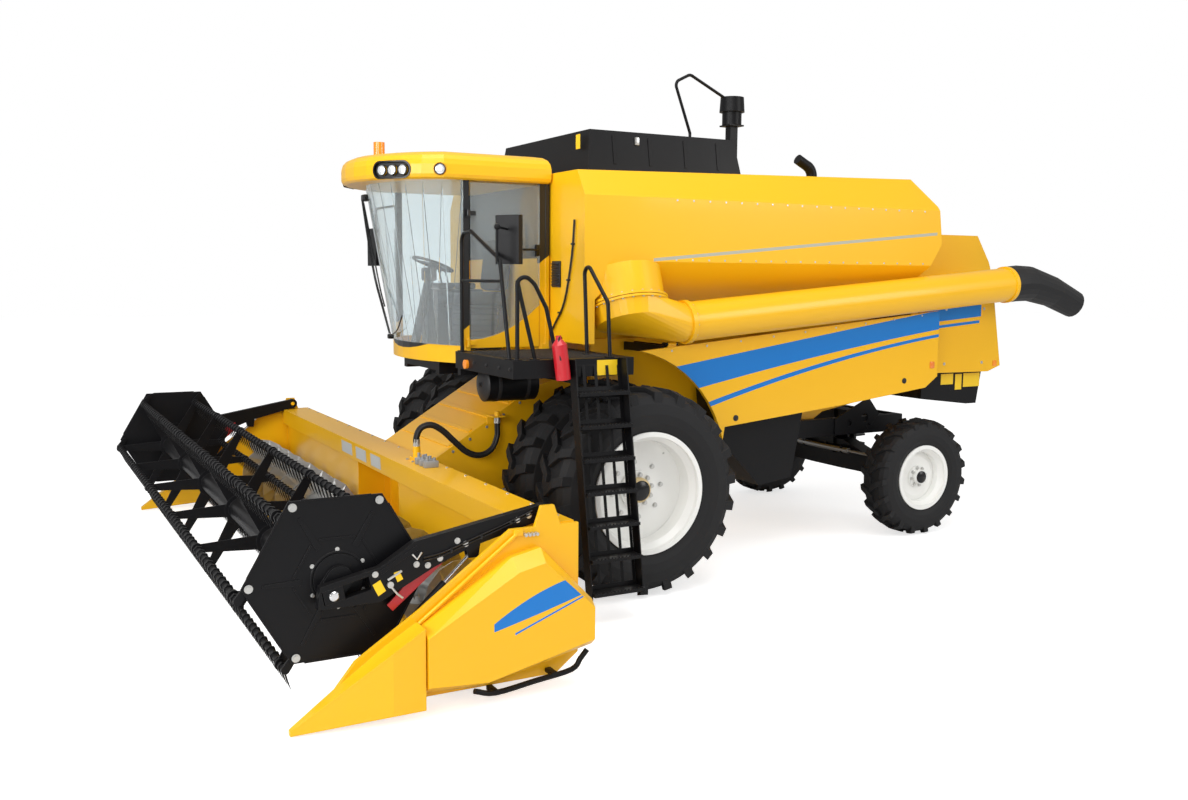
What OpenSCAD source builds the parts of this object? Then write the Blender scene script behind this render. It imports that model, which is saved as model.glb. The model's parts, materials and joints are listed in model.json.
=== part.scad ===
// Self-propelled combine harvester with a straight grain header and a tined reel.
// The machine faces -Y, +X is its left side and +Z is up. It stands on its tyres at Z = 0.
// Stations along the machine are measured from the front axle.

/* [Wheels] */
// Radius of a drive tyre over its lugs
drive_r = 870; // [840:5:890]
// Width of one drive tyre
drive_w = 467; // [440:1:490]
// Height of a drive tyre's lugs
lug_h = 45; // [30:1:55]
// Lugs on each side of a drive tyre
drive_lugs = 22; // [18:1:24]
// Height of a steering tyre's lugs
steer_lug_h = 32; // [20:1:38]
// Lugs on each side of a steering tyre
steer_lugs = 19; // [16:1:21]
// Radius of the drive rim's flange
drive_rim_r = 505; // [490:1:520]
// Middle of the inner drive tyre from the centre line
drive_in_x = 1140; // [1130:5:1160]
// Distance between the middles of twin tyres
twin_pitch = 670; // [640:5:700]
// Radius of a steering tyre over its lugs
steer_r = 600; // [580:5:620]
// Width of a steering tyre
steer_w = 345; // [320:1:360]
// Radius of the steering rim's flange
steer_rim_r = 330; // [320:1:345]
// Middle of a steering tyre from the centre line
steer_x = 1240; // [1220:5:1260]
// Distance between the axles
wheelbase = 3687; // [3650:1:3720]
// Thickness of a rim's sheet
rim_t = 14; // [10:1:18]

/* [Axles] */
// Front axle's distance ahead of the middle of the machine
axle_ahead = 1076.6; // [1060:0.1:1100]
// Diameter of the front axle beam
axle_d = 200; // [160:5:220]
// Diameter of a drive hub's stub shaft
stub_d = 130; // [100:5:150]
// Diameter of a steering stub shaft
pin_d = 70; // [60:5:90]
// Kingpin from the centre line
king_x = 960; // [940:5:980]
// Kingpin diameter
king_d = 60; // [50:2:70]
// Bore of the rear hitch for its pin
hitch_d = 33; // [30:1:40]
// Rear axle beam height
rear_beam_h = 320; // [280:5:330]

/* [Threshing body] */
// Half width of the threshing body
body_half = 700; // [660:5:720]
// Front of the threshing body
body_front = 150; // [140:5:180]
// Top of the threshing body
body_top = 2060; // [2030:5:2080]
// Width of a frame rail
rail_w = 80; // [60:5:90]
// Height of a frame rail
rail_h = 180; // [150:5:200]
// Underside of the frame rails
rail_z = 1000; // [990:5:1020]
// Outer side of a side panel from the centre line
panel_x = 1450; // [1430:5:1470]
// Thickness of a side panel
panel_t = 40; // [25:1:50]
// Radius of the wheel arch in a side panel
arch_r = 1150; // [1100:5:1180]
// Half width of the straw hood
hood_half = 1250; // [1200:5:1300]
// Rear face of the straw hood
hood_rear = 4880; // [4800:5:4950]

/* [Grain tank] */
// Half width of the grain tank
tank_half = 1500; // [1480:5:1520]
// Front face of the grain tank
tank_front = -350; // [-360:5:-340]
// Roof height at the front
roof_front_z = 3510; // [3480:5:3540]
// Roof height at the rear
roof_rear_z = 3610; // [3590:5:3640]
// Rear end of the roof
roof_rear = 3420; // [3350:5:3480]
// Thickness of the tank's walls
tank_t = 40; // [30:1:50]
// Half width of the tank's roof opening
hatch_half = 800; // [700:5:850]
// Height of the tank extension's rim
ext_top = 3915; // [3880:5:3950]
// Half width of the tank extension at the roof
ext_half = 980; // [950:5:1020]
// Thickness of the extension's walls
ext_t = 30; // [20:1:40]

/* [Unloading auger] */
// Diameter of the unloading tube
tube_d = 345; // [320:5:360]
// Radius of the swing ring
ring_r = 320; // [300:5:330]
// Lean of the swing axis from upright
swing_tilt = 20; // [16:1:24]
// Rise of the parked tube towards the rear
tube_rise = 4.8; // [4:0.1:5.5]
// Length of the tube from the swing axis to its rear end
tube_len = 4480; // [4300:10:4600]
// Length of the rubber spout
spout_len = 1050; // [950:10:1150]

/* [Cab] */
// Half width of the cab
cab_half = 880; // [860:5:900]
// Rear face of the cab
cab_rear = -365; // [-370:1:-362]
// Front corner posts
post_y = -1150; // [-1180:5:-1130]
// Middle of the windscreen's foot
screen_foot = -1400; // [-1440:5:-1370]
// Middle of the windscreen's head
screen_head = -1680; // [-1720:5:-1640]
// Underside of the cab floor
floor_z = 1890; // [1885:1:1900]
// Underside of the roof
ceil_z = 3420; // [3400:5:3440]
// Thickness of the roof shell
roof_h = 240; // [200:5:260]
// Overhang of the roof at its sides
roof_out = 40; // [20:5:60]
// Front edge of the roof
roof_nose = -1900; // [-1940:5:-1860]
// Square of a cab post
post_w = 60; // [50:2:70]
// Thickness of the glass
glass_t = 8; // [6:1:10]
// Underside of the door
door_z = 2020; // [2015:1:2030]

/* [Platform and ladder] */
// Outer edge of the platform
deck_out = 2060; // [2050:5:2080]
// Front edge of the platform
deck_front = -1250; // [-1280:5:-1230]
// Walking surface of the platform
deck_z = 2000; // [1990:1:2005]
// Width of the ladder
ladder_w = 460; // [420:5:500]
// Front side of the ladder
ladder_y = -780; // [-800:5:-760]
// Lean of the ladder's foot away from the machine
ladder_out = 300; // [250:10:330]
// Height of the bottom tread
ladder_foot = 250; // [230:5:300]
// Handrail diameter
rail_d = 32; // [25:1:38]

/* [Feeder] */
// Half width of the feeder house
feeder_half = 650; // [630:5:660]
// Height of the feeder's pivot
lift_z = 1560; // [1555:5:1570]
// Pivot of the feeder behind the front axle
lift_y = -50; // [-60:5:-40]
// Radius of the feeder's rear end round its pivot
feeder_r = 175; // [165:1:178]
// Diameter of the bundle of hydraulic hoses beside the feeder
hose_d = 56; // [50:1:60]
// Front face of the feeder house
feeder_front = -1400; // [-1410:5:-1390]

/* [Header] */
// Half width between the end sheets
table_half = 3370; // [3360:1:3380]
// Thickness of an end sheet
end_t = 30; // [20:1:35]
// Width of an end shield
shield_w = 180; // [150:5:200]
// Middle of the table auger ahead of the front axle
screw_y = -1980; // [-1990:5:-1970]
// Height of the table auger's middle
screw_z = 435; // [430:5:445]
// Radius of the table auger's flights
screw_r = 300; // [290:5:305]
// Radius of the table auger's tube
core_r = 150; // [130:5:170]
// Diameter of the table auger's end shafts
screw_shaft_d = 60; // [50:2:70]
// Pitch of the flights
screw_pitch = 520; // [480:10:560]
// Table sheet thickness
sheet_t = 14; // [10:1:18]
// Front edge of the table floor
knife_y = -2430; // [-2450:5:-2410]
// Top of the header's rear beam
beam_z = 1070; // [1050:5:1080]

/* [Reel] */
// Reel shaft ahead of the front axle
reel_y = -2980; // [-3000:5:-2960]
// Height of the reel shaft
reel_z = 765; // [760:5:780]
// Radius of the circle of tine bars
bar_ring = 520; // [500:5:530]
// Horizontal throw of the tine bars' cranks
crank_y = 55; // [50:1:60]
// Upward throw of the tine bars' cranks
crank_z = 75; // [70:1:80]
// Room at each end of the tine bars for the end plate, the carrier and the arm
reel_room = 190; // [186:1:200]
// Diameter of a tine bar
bar_d = 40; // [34:1:44]
// Diameter of the reel's centre tube
reel_d = 190; // [160:5:210]
// Corner radius of the end plates
plate_r = 562; // [555:1:570]
// Thickness of the end plates
plate_t = 10; // [6:1:12]
// Length of a tine below its bar
tine_len = 165; // [150:5:170]
// Distance between tines
tine_pitch = 106; // [90:2:150]
// Lean of the tines to the rear
tine_lean = 15; // [0:1:16]
// Thickness of a reel arm
arm_t = 60; // [50:2:62]
// Arm pivot ahead of the front axle
arm_y = -1620; // [-1640:5:-1600]
// Height of the arm pivot
arm_z = 1135; // [1130:1:1145]

/* [Hidden] */
// Gap between pieces that are bolted or seated on each other
seat = 0.3;
// Radial clearance of a shaft or pin that turns
run_gap = 0.1;
// Gap between pieces that move past each other
pass_gap = 6;
drive_out_x = drive_in_x + twin_pitch;
rail_x = body_half + seat;
// Rear end of the threshing body
body_rear = wheelbase + 103;
rail_out = rail_x + rail_w;

// Helpers
function unit(v) = v / norm(v);
function place(o, x, y, z) = [[x.x, y.x, z.x, o.x], [x.y, y.y, z.y, o.y], [x.z, y.z, z.z, o.z], [0, 0, 0, 1]];
function side_of(z) = unit(cross(z, abs(z.z) > 0.9 ? [1, 0, 0] : [0, 0, 1]));
function roof_at(y) = roof_front_z + (y - tank_front) * (roof_rear_z - roof_front_z) / (roof_rear - tank_front);

// The machine's own frame, with the front axle at Y = 0
module on_machine() {
    translate([0, -axle_ahead, 0]) children();
}

// An outline in Y and Z, extruded along X
module slab_x(pts, x0, x1) {
    translate([x0, 0, 0]) rotate([90, 0, 90]) linear_extrude(x1 - x0) polygon(pts);
}

// An outline in X and Z, extruded along Y
module slab_y(pts, y0, y1) {
    translate([0, y1, 0]) rotate([90, 0, 0]) linear_extrude(y1 - y0) polygon(pts);
}

// An outline in X and Y, extruded along Z
module slab_z(pts, z0, z1) {
    translate([0, 0, z0]) linear_extrude(z1 - z0) polygon(pts);
}

// A block between two corners
module block(a, b) {
    translate(a) cube(b - a);
}

// The same shape on both sides of the machine
module both() {
    children();
    mirror([1, 0, 0]) children();
}

// A round bar between two points
module rod(a, b, d, n = 24) {
    z = unit(b - a);
    x = side_of(z);
    multmatrix(place(a, x, cross(z, x), z)) cylinder(d = d, h = norm(b - a), $fn = n);
}

// A bent round tube through points, with one bend radius
module pipe(p, d, r) {
    n = len(p);
    u = [for (i = [0:n - 2]) unit(p[i + 1] - p[i])];
    t = [for (i = [0:n - 1]) i == 0 || i == n - 1 ? 0 : r * tan(acos(u[i - 1] * u[i]) / 2)];
    for (i = [0:n - 2])
        rod(p[i] + u[i] * (t[i] - (i > 0 ? 0.5 : 0)), p[i + 1] - u[i] * (t[i + 1] - (i < n - 2 ? 0.5 : 0)), d);
    for (i = [1:n - 2]) {
        z = unit(cross(u[i - 1], u[i]));
        m = cross(z, u[i - 1]);
        multmatrix(place(p[i] - u[i - 1] * t[i] + m * r, -m, u[i - 1], z))
            rotate_extrude(angle = acos(u[i - 1] * u[i]), $fn = 24) translate([r, 0]) circle(d = d * 1.04, $fn = 24);
    }
}

// A shaft along X through a point in Y and Z
module axle_pin(y, z, d, x0, x1, n = 32) {
    translate([x0, y, z]) rotate([0, 90, 0]) cylinder(d = d, h = x1 - x0, $fn = n);
}

// Threshing body and chassis
module threshing_body() {
    color("gold") on_machine() slab_x([[body_front, rail_z], [body_front, body_top], [body_rear, body_top], [body_rear, 1400],
        [2900, 1250], [2500, 1000], [2200, 760], [1500, 800], [1050, rail_z]], -body_half, body_half);
}

// The rear axle hangs between two ears on a pin along Y
pivot_z = 765;
pivot_d = 60;
ear_t = 26;
pivot_ears = [wheelbase - 90 - seat - ear_t, wheelbase + 90 + seat];
cab_beam_x = 380;
cab_beam_w = 80;
// Side panels hang from hinges along their rising top edges
panel_rise = 0.09;
panel_hinge_y = [560, body_rear - 370];
function panel_top(y) = 1974 + y * panel_rise;
function panel_axis(y) = [panel_x - 20, y, panel_top(y) + 24];
cab_beam_z = 1770;
hitch_y = body_rear + 260;
hitch_z = 800;
module chassis_frame() {
    color("dimgray") on_machine() {
        difference() {
            union() {
                both() {
                    block([rail_x, -150, rail_z], [rail_out, body_rear + 160, rail_z + rail_h]);
                    block([cab_beam_x, deck_front + 20, cab_beam_z], [cab_beam_x + cab_beam_w, body_front - seat, floor_z - seat]);
                    slab_x([[lift_y - 90, rail_z + 20], [lift_y - 60, lift_z + 60], [lift_y + 60, lift_z + 60],
                        [body_front + 250, rail_z + rail_h - 20], [body_front + 250, rail_z + 20]], rail_x, rail_x + 40);
                }
                block([-cab_beam_x - 1, deck_front + 20, cab_beam_z + 30], [cab_beam_x + 1, deck_front + 100, floor_z - seat]);
                block([-cab_half, -700, 1800], [900, -620, floor_z - seat]);
                block([-rail_x - 1, wheelbase - 87, rail_z], [rail_x + 1, wheelbase + 87, rail_z + rail_h]);
                axle_pin(0, drive_r, axle_d, -800, 800);
                both() {
                    axle_pin(0, drive_r, 420, 770, 880, 48);
                    axle_pin(0, drive_r, stub_d, 850, drive_in_x + 78);
                    block([rail_x, -100, drive_r + 60], [rail_out, 100, rail_z + 10]);
                    for (x = [450 - 71, 450 + 56]) difference() {
                        block([x, -170, 605], [x + 15, -20, drive_r]);
                        axle_pin(base_y, base_z, 40 + 2 * run_gap, x - 5, x + 20);
                    }
                }
                for (y = pivot_ears) block([-120, y, 690], [120, y + ear_t, rail_z + 20]);
                block([-120, pivot_ears[0], rail_z], [120, pivot_ears[1] + ear_t, rail_z + rail_h]);
                both() for (y = panel_hinge_y) panel_bracket(y);
                // rear hitch: two tabs that a drawbar eye goes between
                block([-rail_x - 1, body_rear + 110, rail_z], [rail_x + 1, body_rear + 160, rail_z + rail_h]);
                block([-90, body_rear + 110, hitch_z - 60], [90, body_rear + 145, rail_z + 10]);
                for (z = [hitch_z - 60, hitch_z + 40])
                    slab_z([[-90, hitch_y - 116], [90, hitch_y - 116], [60, hitch_y + 45], [-60, hitch_y + 45]], z, z + 20);
                // bracket ahead of the steering wheel, with its lightening holes
                both() difference() {
                    slab_x([[wheelbase - 687, rail_z + 10], [wheelbase - 277, rail_z + 10], [wheelbase - 87, rail_z + 200],
                        [wheelbase - 237, rail_z + 380], [wheelbase - 687, rail_z + 175]], rail_out - 1, rail_out + 18);
                    for (c = [[-287, 170, 90], [-500, 120, 70], [-230, 80, 50]])
                        axle_pin(wheelbase + c.x, rail_z + c.y, c.z, rail_out - 10, rail_out + 30);
                }
            }
            translate([0, hitch_y, hitch_z - 100]) cylinder(d = hitch_d, h = 200, $fn = 32);
            both() axle_pin(lift_y, lift_z, 60 + 2 * run_gap, rail_x - 5, rail_x + 60);
            translate([0, pivot_ears[0] - 10, pivot_z]) rotate([-90, 0, 0]) cylinder(d = pivot_d + 2 * seat, h = 400, $fn = 32);
        }
    }
}

module shoe_shrouds() {
    color("black") on_machine() both()
        slab_x([[1250, 1650], [1330, 1000], [1430, 960], [1740, 650], [2120, 700], [2240, 1310], [2300, 1650]],
            rail_out + seat, 1180);
}

// Front and rear axles
module rear_axle() {
    color("black") on_machine() difference() {
        union() {
            slab_y([[-880, steer_r - 60], [-880, steer_r + 60], [-250, steer_r + 250], [250, steer_r + 250], [880, steer_r + 60],
                [880, steer_r - 60], [250, steer_r + 250 - rear_beam_h], [-250, steer_r + 250 - rear_beam_h]],
                wheelbase - 90, wheelbase + 90);
            both() {
                block([870, wheelbase - 70, steer_r - 130], [king_x + 55, wheelbase + 70, steer_r - 85]);
                block([870, wheelbase - 70, steer_r + 85], [king_x + 55, wheelbase + 70, steer_r + 130]);
                block([840, wheelbase - 70, steer_r - 130], [885, wheelbase + 70, steer_r + 130]);
            }
            both() block([300, wheelbase - 180, steer_r + 110], [330, wheelbase - 80, steer_r + 190]);
            translate([0, pivot_ears[0] - 20, pivot_z]) rotate([-90, 0, 0])
                cylinder(d = pivot_d, h = pivot_ears[1] + ear_t - pivot_ears[0] + 40, $fn = 32);
        }
        both() translate([king_x, wheelbase, 0]) cylinder(d = king_d + 2 * run_gap, h = 1200, $fn = 32);
        axle_pin(ram_y, ram_z, ram_d + 2 * seat, -400, 400);
    }
}

// The steering ram lies along the front of the axle beam
ram_y = wheelbase - 153;
ram_z = steer_r + 150;
ram_d = 60;
module steering_ram() {
    color("silver") on_machine() {
        axle_pin(ram_y, ram_z, ram_d, -420, 420);
        axle_pin(ram_y, ram_z, 30, -740, 740);
    }
}

module knuckle() {
    on_machine() {
        difference() {
            union() {
                translate([king_x, wheelbase, steer_r - 135]) cylinder(d = king_d, h = 300, $fn = 32);
                translate([king_x, wheelbase, steer_r + 136]) cylinder(d = 110, h = 29, $fn = 40);
                translate([king_x, wheelbase, steer_r - 80]) cylinder(d = 120, h = 160, $fn = 40);
                axle_pin(wheelbase, steer_r, pin_d, king_x, steer_x + 60);
                slab_z([[king_x - 50, wheelbase - 10], [king_x - 90, wheelbase - 225], [king_x - 30, wheelbase - 235],
                    [king_x + 50, wheelbase - 10]], steer_r + 136, steer_r + 165);
            }
        }
    }
}

// Wheels
// Section of a tyre's carcass, as radius and offset from its middle
function carcass_outline(r, w, rim) = let (h = r - rim)
    [[rim - 20, -w * 0.36], [rim + 4, -w * 0.40], [rim + h * 0.25, -w * 0.475], [rim + h * 0.48, -w * 0.5],
     [rim + h * 0.75, -w * 0.475], [rim + h * 0.92, -w * 0.41], [r, -w * 0.28], [r, w * 0.28],
     [rim + h * 0.92, w * 0.41], [rim + h * 0.75, w * 0.475], [rim + h * 0.48, w * 0.5], [rim + h * 0.25, w * 0.475],
     [rim + 4, w * 0.40], [rim - 20, w * 0.36]];

// One lug, at the top of its tyre: stations across the tread, each [across, around, half thickness, top, foot]
module tread_lug(r, w, lug) {
    s = [[-0.02 * w, -0.16 * w, 0.075 * w, r, r - lug - 14], [0.24 * w, 0.04 * w, 0.085 * w, r, r - lug - 14],
        [0.47 * w, 0.12 * w, 0.08 * w, r - 0.7 * lug, r - 3 * lug]];
    pts = [for (q = s) for (c = [[-1, q[4]], [-1, q[3]], [1, q[3]], [1, q[4]]])
        let (y = q[1] + c[0] * q[2]) [q[0], y, sqrt(c[1] * c[1] - y * y)]];
    walls = [for (i = [0, 1]) for (k = [0:3]) let (a = i * 4 + k, b = i * 4 + (k + 1) % 4)
        for (f = [[a, b, b + 4], [a, b + 4, a + 4]]) f];
    polyhedron(pts, concat([[0, 3, 2, 1]], walls, [[8, 9, 10, 11]]));
}

// A tyre: its carcass with two rows of lugs, half a pitch apart
module tyre(x, y, r, w, rim, lug, lugs) {
    translate([x, y, r]) {
        rotate([0, 90, 0]) rotate_extrude($fn = 72) polygon(carcass_outline(r - lug, w, rim));
        for (i = [0:lugs - 1]) {
            rotate([i * 360 / lugs, 0, 0]) tread_lug(r, w, lug);
            rotate([(i + 0.5) * 360 / lugs, 0, 0]) mirror([1, 0, 0]) tread_lug(r, w, lug);
        }
    }
}

// A dished rim: its barrel carries the tyre and its disc meets the hub
module rim(x, y, r, w, rim, dish, bore, hub_r, hub_len) {
    t = rim_t;
    translate([x, y, r]) rotate([0, 90, 0]) rotate_extrude($fn = 72) polygon([
        [bore, dish - hub_len], [hub_r, dish - hub_len], [hub_r, dish - t], [rim * 0.62, dish - t],
        [rim * 0.8, dish - 2.2 * t], [rim - 60 - t, dish - 2.2 * t], [rim - 60 - t, -w * 0.25],
        [rim - 22 - t, -w * 0.36], [rim - 22 - t, -w * 0.44], [rim + 4, -w * 0.44], [rim + 4, -w * 0.4 - seat],
        [rim - 20 - seat, -w * 0.36 - seat], [rim - 20 - seat, -w * 0.31], [rim - 60, -w * 0.24], [rim - 60, w * 0.24],
        [rim - 20 - seat, w * 0.31], [rim - 20 - seat, w * 0.36 + seat], [rim + 4, w * 0.4 + seat], [rim + 4, w * 0.44],
        [rim - 22 - t, w * 0.44], [rim - 22 - t, w * 0.36],
        [rim - 60 - t, w * 0.25], [rim - 60 - t, dish - 1.2 * t], [rim * 0.8, dish - 1.2 * t],
        [rim * 0.62, dish], [hub_r, dish], [hub_r, dish + 25], [bore, dish + 25]]);
}

module drive_tyres() {
    on_machine() for (x = [drive_in_x, drive_out_x]) tyre(x, 0, drive_r, drive_w, drive_rim_r, lug_h, drive_lugs);
}

module drive_rims() {
    on_machine() {
        rim(drive_in_x, 0, drive_r, drive_w, drive_rim_r, 60, stub_d / 2 + run_gap, 190, 240);
        translate([drive_out_x, 0, drive_r]) rotate([0, 90, 0]) rotate_extrude($fn = 72) {
            t = rim_t;
            w = drive_w;
            rm = drive_rim_r;
            polygon([[0, -120], [160, -120], [160, -t - 20], [rm * 0.62, -t - 20], [rm * 0.8, -2.2 * t - 20],
                [rm - 60 - t, -2.2 * t - 20], [rm - 60 - t, -w * 0.25],
                [rm - 22 - t, -w * 0.36], [rm - 22 - t, -w * 0.44], [rm + 4, -w * 0.44], [rm + 4, -w * 0.4 - seat],
                [rm - 20 - seat, -w * 0.36 - seat], [rm - 20 - seat, -w * 0.31], [rm - 60, -w * 0.24], [rm - 60, w * 0.24],
                [rm - 20 - seat, w * 0.31], [rm - 20 - seat, w * 0.36 + seat], [rm + 4, w * 0.4 + seat], [rm + 4, w * 0.44],
                [rm - 22 - t, w * 0.44], [rm - 22 - t, w * 0.36],
                [rm - 60 - t, w * 0.25], [rm - 60 - t, -20], [rm * 0.8, -20 - 1.2 * t + t],
                [rm * 0.62, -20], [160, -20], [160, 10], [0, 10]]);
        }
        axle_pin(0, drive_r, 300, drive_in_x + 85 + seat, drive_out_x - 120 - seat, 48);
    }
}

module steer_tyre() {
    on_machine() tyre(steer_x, wheelbase, steer_r, steer_w, steer_rim_r, steer_lug_h, steer_lugs);
}

module steer_rim() {
    on_machine() {
        rim(steer_x, wheelbase, steer_r, steer_w, steer_rim_r, 40, pin_d / 2 + run_gap, 110, 160);
        axle_pin(wheelbase, steer_r, 150, steer_x + 65 + seat, steer_x + 110, 40);
    }
}

// Body panels
arch_a0 = 15;
arch_a1 = 78;
function arch_pts(n) = [for (i = [0:n]) let (a = arch_a1 - (arch_a1 - arch_a0) * i / n)
    [arch_r * cos(a), drive_r + arch_r * sin(a)]];
module side_panel() {
    a = arch_pts(10);
    e = body_rear - 40;
    slab_x(concat([[e, panel_top(e)]], a, [[1130, 1285], [e - 1210, 1420], [e - 160, 1540], [e, 1650]]), panel_x - panel_t, panel_x);
    for (y = panel_hinge_y) difference() {
        union() {
            rod(panel_axis(y - 40), panel_axis(y + 40), 30);
            slab_x([[y - 40, panel_top(y - 40) - 5], [y + 40, panel_top(y + 40) - 5], [y + 40, panel_top(y + 40) + 20],
                [y - 40, panel_top(y - 40) + 20]], panel_x - 28, panel_x - 12);
        }
        rod(panel_axis(y - 60), panel_axis(y + 60), 16 + 2 * seat);
    }
}

// Bracket on the threshing body that carries a side panel's hinge
module panel_bracket(y) {
    z = panel_top(y);
    for (s = [-1, 1]) translate([0, s * 54, 0])
        slab_y([[rail_x, z - 70], [panel_x - panel_t - 70, z - 30], [panel_x - 60, z + 6], [panel_x - 34, z + 12], [panel_x - 8, z + 12],
            [panel_x - 8, z + 38], [panel_x - 70, z + 38], [panel_x - 120, z + 10], [rail_x, z + 10]], y - 6, y + 6);
    block([rail_x, y - 55, z - 66], [panel_x - 120, y + 55, z - 54]);
    rod(panel_axis(y - 58), panel_axis(y + 58), 16);
}

hood_front = body_rear + seat;
module straw_hood() {
    color("gold") on_machine() {
        slab_x([[hood_front, 1660], [hood_front, 2410], [hood_rear - 130, 2410], [hood_rear, 1710], [hood_rear - 180, 1650]], -hood_half, hood_half);
    }
}

module engine_hood() {
    f = body_rear - 60;
    color("gold") on_machine() difference() {
        slab_x([[f, 2410 + seat], [f, 3100], [f + 1110, 3100], [f + 1300, 2820], [f + 1470, 2410 + seat]], -900, 900);
        slab_x([[f + 40, 2400], [f + 40, 3060], [f + 1090, 3060], [f + 1265, 2805], [f + 1420, 2400]], -860, 860);
        translate([-870, f + 570, 2760]) rotate([0, -90, 0]) cylinder(d = 560, h = 60, $fn = 48);
        for (i = [0:7]) block([-650, f + 1270, 2480 + i * 36], [650, f + 1570, 2496 + i * 36]);
    }
    color("black") on_machine() {
        translate([-862, f + 570, 2760]) rotate([0, -90, 0]) difference() {
            cylinder(d = 559, h = 60, $fn = 48);
            translate([0, 0, -1]) cylinder(d = 520, h = 50, $fn = 48);
        }
    }
}

module engine_block() {
    color("gray") on_machine() block([-350, body_rear + 160, 2410 + seat], [450, body_rear + 960, 2980]);
}

chop_y = body_rear + 500;
chop_z = 1480;
function hood_floor(y) = 1660 - (y - hood_front) * 10 / (hood_rear - 180 - hood_front) - seat;
module chopper_housing() {
    c = chop_y;
    top = [[c - 440, hood_floor(c - 440)], [c + 400, hood_floor(c + 400)]];
    color("black") on_machine() {
        difference() {
            union() {
                both() slab_x(concat([[c - 440, 1380]], top, [[c + 430, 1640], [c + 370, 1300], [c + 220, 1300]]), 1110, 1140);
                slab_x(concat([[c - 440, 1380]], top, [[c + 400, 1628], [c - 410, 1632], [c - 410, 1380]]), -1111, 1111);
                for (i = [-4:4]) translate([i * 240, 0, 0])
                    slab_x([[c + 210, 1634], [c + 398, 1634], [c + 350, 1330], [c + 310, 1330]], -4, 4);
            }
            both() axle_pin(chop_y, chop_z, 60 + 2 * run_gap, 1100, 1150);
        }
    }
}

module chopper_rotor() {
    color("dimgray") on_machine() {
        axle_pin(chop_y, chop_z, 150, -1090, 1090);
        axle_pin(chop_y, chop_z, 60, -1140, 1140);
        for (i = [-10:10]) translate([i * 100, chop_y, chop_z]) for (k = [0, 1])
            rotate([(i % 2) * 45 + k * 90, 0, 0]) translate([-3, -125, -25]) cube([6, 250, 50]);
    }
}

// Grain tank
tank_ring = [tank_half - 80, 120, 2390];
module tank_outer() {
    intersection() {
        slab_y([[-690, body_top + seat], [690, body_top + seat], [tank_half - 320, 2400], [tank_half, 2760],
            [tank_half, 3300], [tank_half - 210, 3640], [210 - tank_half, 3640], [-tank_half, 3300], [-tank_half, 2760],
            [320 - tank_half, 2400]], tank_front, 3700);
        slab_x([[tank_front, 2000], [tank_front, roof_front_z], [roof_rear, roof_rear_z], [3640, 3340], [3690, 2970], [3480, 2650],
            [3200, 2000]], -tank_half, tank_half);
    }
}

module tank_inner() {
    t = tank_t;
    intersection() {
        slab_y([[-200, 2200], [200, 2200], [tank_half - 370, 2430], [tank_half - t, 2775],
            [tank_half - t, 3285], [tank_half - 230, 3640 - t], [230 - tank_half, 3640 - t], [-tank_half + t, 3285],
            [-tank_half + t, 2775], [370 - tank_half, 2430]],
            tank_front + t + 30, 3640);
        slab_x([[tank_front + t + 20, 2100], [tank_front + t + 20, roof_front_z - t], [roof_rear - 20, roof_rear_z - t],
            [3600, 3330], [3645, 2975], [3440, 2670], [3000, 2150]], -tank_half, tank_half);
    }
}

module grain_tank() {
    color("gold") on_machine() {
        difference() {
            union() {
                tank_outer();
                slab_y([[-tank_half, 2070], [tank_half, 2070], [tank_half, 3300], [tank_half - 170, roof_front_z], [170 - tank_half, roof_front_z],
                    [-tank_half, 3300]], tank_front, tank_front + 50);
                both() slab_x([[tank_front + 1, 2070], [-250, 2070], [-250, 2440], [-180, 2500], [280, 2750], [280, 2790], [tank_front + 1, 2790]],
                    tank_half - tank_t, tank_half);
                // fixed collar of the swing ring
                difference() {
                    translate(tank_ring) rotate([0, -swing_tilt, 0]) {
                        cylinder(r = ring_r + 28, h = 22, $fn = 48);
                        cylinder(r = ring_r, h = 290, $fn = 48);
                    }
                    translate([0, 0, 0]) tank_outer();
                }
            }
            tank_inner();
            block([-hatch_half, 60, 3300], [hatch_half, 1480, 3700]);
            translate(tank_ring) rotate([0, -swing_tilt, 0]) translate([0, 0, -1]) cylinder(r = ring_r - 60, h = 190, $fn = 48);
        }
    }
}

module tank_extension() {
    y0 = -30;
    y1 = 1620;
    color("black") on_machine() difference() {
        intersection() {
            slab_y([[-ext_half, 3400], [ext_half, 3400], [ext_half - 90, ext_top + 10], [-ext_half + 90, ext_top + 10]], y0, y1);
            slab_x([[y0, roof_at(y0) + seat], [y1, roof_at(y1) + seat], [y1 - 60, ext_top], [y0 + 50, ext_top]], -ext_half, ext_half);
        }
        intersection() {
            slab_y([[-ext_half + ext_t, 3400], [ext_half - ext_t, 3400], [ext_half - 90 - ext_t, 4000], [-ext_half + 90 + ext_t, 4000]],
                y0, y1);
            slab_x([[y0 + ext_t, 3400], [y1 - ext_t, 3400], [y1 - 60 - ext_t, 4000], [y0 + 50 + ext_t, 4000]], -ext_half, ext_half);
        }
    }
}

// Air intake on its post and the hoop rail behind the tank extension
module tank_fittings() {
    color("black") on_machine() {
        block([-45, 2130, roof_at(2130) + 8], [45, 2220, 4180]);
        slab_x([[2065, roof_at(2065) + seat], [2065, roof_at(2065) + 14], [2285, roof_at(2285) + 14], [2285, roof_at(2285) + seat]], -110, 110);
        block([-90, 2085, 4180], [90, 2265, 4195]);
        translate([0, 2175, 4195]) cylinder(d = 200, h = 130, $fn = 40);
        translate([0, 2175, 4325]) cylinder(d1 = 260, d2 = 240, h = 150, $fn = 40);
        pipe([[0, 3250, roof_at(3250) + 1.8], [0, 3250, 3800], [0, 3050, 3900]], 110, 120);
        pipe([[0, 1660, roof_at(1660) + 0.7], [0, 1660, 4080], [0, 1470, 4570], [0, 1650, 4660], [0, 2175, 4420]], 30, 60);
    }
}

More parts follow.
